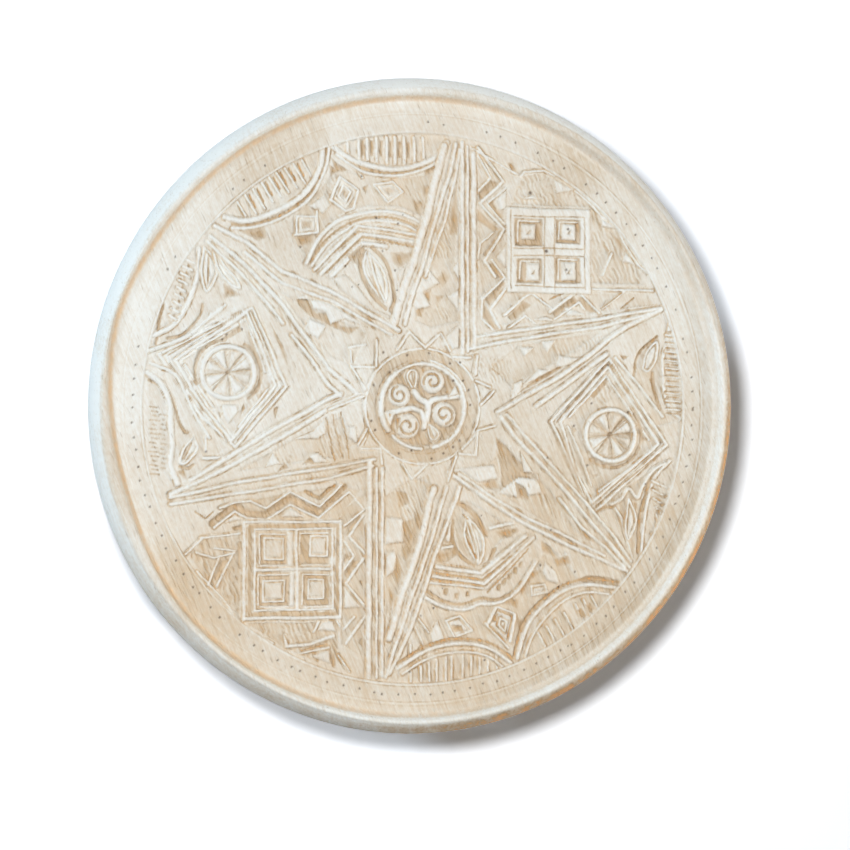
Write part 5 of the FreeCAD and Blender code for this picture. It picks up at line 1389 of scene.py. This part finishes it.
top_pieces = []
for number, board in enumerate(boards, start=1):
    bmesh.ops.recalc_face_normals(board, faces=board.faces)
    for face in board.faces:
        face.smooth = True
    lay_flat(board, -TOP_RADIUS + BOARD_WIDTH * (number - 1), -TOP_RADIUS + BOARD_WIDTH * number)
    mesh = bpy.data.meshes.new(f"carved_board_{number}")
    board.to_mesh(mesh)
    board.free()
    piece = bpy.data.objects.new(f"carved_board_{number}", mesh)
    bpy.context.collection.objects.link(piece)
    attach(piece, "root")
    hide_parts(f"top_board_{number}")
    top_pieces.append(piece)
bpy.data.meshes.remove(disc_mesh)
print("board triangles:", [sum(len(p.vertices) - 2 for p in piece.data.polygons) for piece in top_pieces])

# %% [markdown]
# The finish of the top is limewash over pale wood: white on the ribs, thin and grey on the flats, tan
# in the cuts, orange where a chip was lifted. The same orange, and a darker tan, are painted on the lip
# as shade. A ramp gives those colours along one amount. The attribute of bare wood and painted shade
# is most of it; noise stretched along the boards breaks it up into grain, larger noise makes the wash
# patchy, and small noise leaves the marks of the knife.

# %% Amount of bare wood and painted shade
carved_wash, tree, shader = new_finish("carved_limewash")
place = add(tree, "TexCoord").outputs["Object"]
cuts_and_shade, pits, warmth_tint = (add(tree, "Attribute", attribute_name=name).outputs["Fac"]
                     for name in ("bare_and_shade", "pit", "painted_warmth"))
streaks = noise_along(tree, place, (420, 14, 420), 4)
fine = noise_along(tree, place, (1100, 34, 1100), 2)
patches = noise_along(tree, place, (16, 11, 16), 4, 0.6)
marks = noise_along(tree, place, (330, 170, 330), 3, 0.6)
pores = ramp(tree, noise_along(tree, place, (620, 60, 620), 1), [(0.68, 0.0), (0.76, 1.0)])
lines = ramp(tree, noise_along(tree, place, (270, 22, 270), 2), [(0.5, 0.0), (0.6, 1.0)])
low_ground = ramp(tree, cuts_and_shade, [(0.28, 0.1), (0.5, 1.0)])
scored = add(tree, "Math", {0: lines, 1: low_ground}, operation="MULTIPLY").outputs[0]
amount = sum_of(tree, cuts_and_shade, (streaks, 0.3), (fine, 0.25), (patches, 0.44), (marks, 0.36), (scored, 0.2),
                -0.69)
print("amount of bare wood from", len(tree.nodes), "nodes")

# %% [markdown]
# The colours go on in layers: wash, then a warm tint that paints the shade in the cove light orange
# and paints a warm light on the lower part of the top, then the dark of punched holes and open pores.
# Bare wood is a little smoother than chalky wash, and the bump has the grain and the knife marks that
# are too fine for the mesh.

# %% Colours of the carved top
# The orange last stop is the wood of lifted chips and also the painted shade on the lip's outer wall.
washed = ramp(tree, amount, [
    (0.0, (0.87, 0.89, 0.87)), (0.15, (0.80, 0.78, 0.72)), (0.4, (0.67, 0.58, 0.46)),
    (0.65, (0.60, 0.46, 0.31)), (0.85, (0.54, 0.38, 0.22)), (1.0, (0.72, 0.40, 0.17))])
# Painted warm tint: light orange shade in the cove, warm light on the lower part of the top.
warm_tinted = add(tree, "MixRGB", {"Fac": warmth_tint, "Color1": washed, "Color2": (0.80, 0.57, 0.34, 1)})
holed = add(tree, "MixRGB", {"Fac": sum_of(tree, (pits, 0.85)), "Color1": warm_tinted.outputs[0],
                             "Color2": (0.13, 0.09, 0.06, 1)})
grained = add(tree, "MixRGB", {"Fac": sum_of(tree, (pores, 0.35)), "Color1": holed.outputs[0],
                               "Color2": (0.36, 0.25, 0.15, 1)})
tree.links.new(grained.outputs[0], shader.inputs["Base Color"])
tree.links.new(sum_of(tree, (streaks, 0.25), (amount, -0.06), 0.55), shader.inputs["Roughness"])
shader.inputs["Specular IOR Level"].default_value = 0.3
surface = sum_of(tree, (streaks, 0.4), (fine, 0.2), (pores, -0.3), (marks, 0.7), (scored, -1.1))
relief = add(tree, "Bump", {"Strength": 0.7, "Distance": 0.0012, "Height": surface})
tree.links.new(relief.outputs[0], shader.inputs["Normal"])
for piece in top_pieces:
    piece.data.materials.append(carved_wash)
print("finish:", carved_wash.name, "with", len(tree.nodes), "nodes on", len(top_pieces), "boards")

# %% [markdown]
# Legs, aprons and stretchers are shown by their CAD solids, so only a finish goes on them. It is the
# same limewash, thinner than on the top. Grain runs along the length of a piece, so the finish is made
# once for each direction. A bevel node looks round each point for an edge: there the smoothed normal
# leaves the true one, and the wash is rubbed through to the wood.

# %% Plank finish
def plank_finish(name, along, stops, rub, grain_bump=0.5):
    """Wood with grain along one axis. The stops are its colours from thick wash to bare wood."""
    finish, tree, shader = new_finish(name)
    place = add(tree, "TexCoord").outputs["Object"]

    def stretched(across, lengthwise):
        return [lengthwise if axis == along else across for axis in range(3)]

    streaks = noise_along(tree, place, stretched(320, 9), 4)
    fine = noise_along(tree, place, stretched(900, 26), 2)
    year_rings = noise_along(tree, place, stretched(70, 2.4), 3, 0.6)
    patches = noise_along(tree, place, (14, 14, 11), 4, 0.6)
    pores = ramp(tree, noise_along(tree, place, stretched(700, 50), 1), [(0.66, 0.0), (0.75, 1.0)])
    rounded = add(tree, "Bevel", {"Radius": 0.0035}, samples=6).outputs["Normal"]
    true_normal = add(tree, "NewGeometry").outputs["True Normal"]
    match = add(tree, "VectorMath", {0: rounded, 1: true_normal}, operation="DOT_PRODUCT").outputs["Value"]
    near_edge = ramp(tree, match, [(0.82, 1.0), (0.99, 0.0)])
    amount = sum_of(tree, (near_edge, rub), (streaks, 0.5), (fine, 0.25), (year_rings, 0.55),
                    (patches, 0.5), -0.62)
    washed = ramp(tree, amount, stops)
    grained = add(tree, "MixRGB", {"Fac": sum_of(tree, (pores, 0.4)), "Color1": washed,
                                   "Color2": (0.30, 0.20, 0.12, 1)})
    tree.links.new(grained.outputs[0], shader.inputs["Base Color"])
    tree.links.new(sum_of(tree, (streaks, 0.25), (near_edge, -0.12), 0.52), shader.inputs["Roughness"])
    shader.inputs["Specular IOR Level"].default_value = 0.3
    relief = add(tree, "Bump", {"Strength": grain_bump, "Distance": 0.0008, "Normal": rounded,
                                "Height": sum_of(tree, (streaks, 0.5), (fine, 0.3), (pores, -0.4))})
    tree.links.new(relief.outputs[0], shader.inputs["Normal"])
    return finish


print("plank finish ready")

# %% [markdown]
# A CAD node keeps its mesh, so its finish is set on the object's material slots. Legs have their grain
# upright, the other pieces along X or Y.

# %% Limed legs and rails
def dress(finish, *names):
    """Put a finish on every material slot of CAD nodes."""
    for name in names:
        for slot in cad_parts[name].material_slots:
            slot.link = "OBJECT"
            slot.material = finish


LIMED = [(0.0, (0.80, 0.80, 0.78)), (0.2, (0.78, 0.73, 0.65)), (0.45, (0.69, 0.57, 0.43)),
         (0.7, (0.62, 0.44, 0.27)), (1.0, (0.46, 0.29, 0.16))]
ALONG_X, ALONG_Y, UPRIGHT, EVERY_WAY = range(4)
limed_up = plank_finish("limed_frame_up", UPRIGHT, LIMED, 0.5)
limed_x = plank_finish("limed_frame_x", ALONG_X, LIMED, 0.5)
limed_y = plank_finish("limed_frame_y", ALONG_Y, LIMED, 0.5)
dress(limed_up, "leg_front_left", "leg_front_right", "leg_back_right", "leg_back_left")
dress(limed_x, "apron_front", "apron_back", "stretcher_front", "stretcher_back")
dress(limed_y, "apron_left", "apron_right", "stretcher_left", "stretcher_right")
print("limed:", [finish.name for finish in (limed_up, limed_x, limed_y)])

# %% [markdown]
# What nobody looks at was never washed: the battens under the top are planed wood, and the dowels and
# pegs are whittled from a darker one. The battens run along X. Pegs point in several directions, so
# theirs is an even grain in all three.

# %% Battens and pegs
PLANED = [(0.0, (0.70, 0.54, 0.37)), (0.35, (0.62, 0.45, 0.28)), (0.7, (0.52, 0.35, 0.20)),
          (1.0, (0.38, 0.24, 0.13))]
WHITTLED = [(0.0, (0.62, 0.45, 0.28)), (0.4, (0.53, 0.36, 0.21)), (0.75, (0.43, 0.27, 0.15)),
            (1.0, (0.30, 0.18, 0.10))]
planed_x = plank_finish("planed_battens", ALONG_X, PLANED, -0.2)
whittled = plank_finish("whittled_pegs", EVERY_WAY, WHITTLED, -0.3, 0.8)
dress(planed_x, "batten_front", "batten_back")
dress(whittled, "board_dowels", "batten_pegs", "apron_pegs", "stretcher_pegs")
print("unwashed:", planed_x.name, whittled.name)

# %% [markdown]
# The screws are dull steel with fine scratches and spots of rust. Rust is not metal, so it also lowers
# the shader's metallic value and makes the surface rougher.

# %% Screws
dull_steel, tree, shader = new_finish("dull_screw_steel")
place = add(tree, "TexCoord").outputs["Object"]
scratches = noise_along(tree, place, (2600, 260, 900), 3)
stains = noise_along(tree, place, (420, 420, 420), 4, 0.65)
metal = ramp(tree, scratches, [(0.3, (0.34, 0.33, 0.31)), (0.7, (0.56, 0.55, 0.52))])
rust = ramp(tree, stains, [(0.55, 0.0), (0.7, 1.0)])
rusted = add(tree, "MixRGB", {"Fac": sum_of(tree, (rust, 0.7)), "Color1": metal,
                              "Color2": (0.26, 0.13, 0.06, 1)})
tree.links.new(rusted.outputs[0], shader.inputs["Base Color"])
tree.links.new(sum_of(tree, (rust, -0.8), 0.9), shader.inputs["Metallic"])
tree.links.new(sum_of(tree, (scratches, 0.3), (rust, 0.25), 0.3), shader.inputs["Roughness"])
relief = add(tree, "Bump", {"Strength": 0.4, "Distance": 0.0002,
                            "Height": sum_of(tree, (scratches, 0.6), (rust, 0.4))})
tree.links.new(relief.outputs[0], shader.inputs["Normal"])
dress(dull_steel, "batten_screws")
print("screws:", dull_steel.name)

# %% [markdown]
# The script ends here.

# %% Finish
print("done")
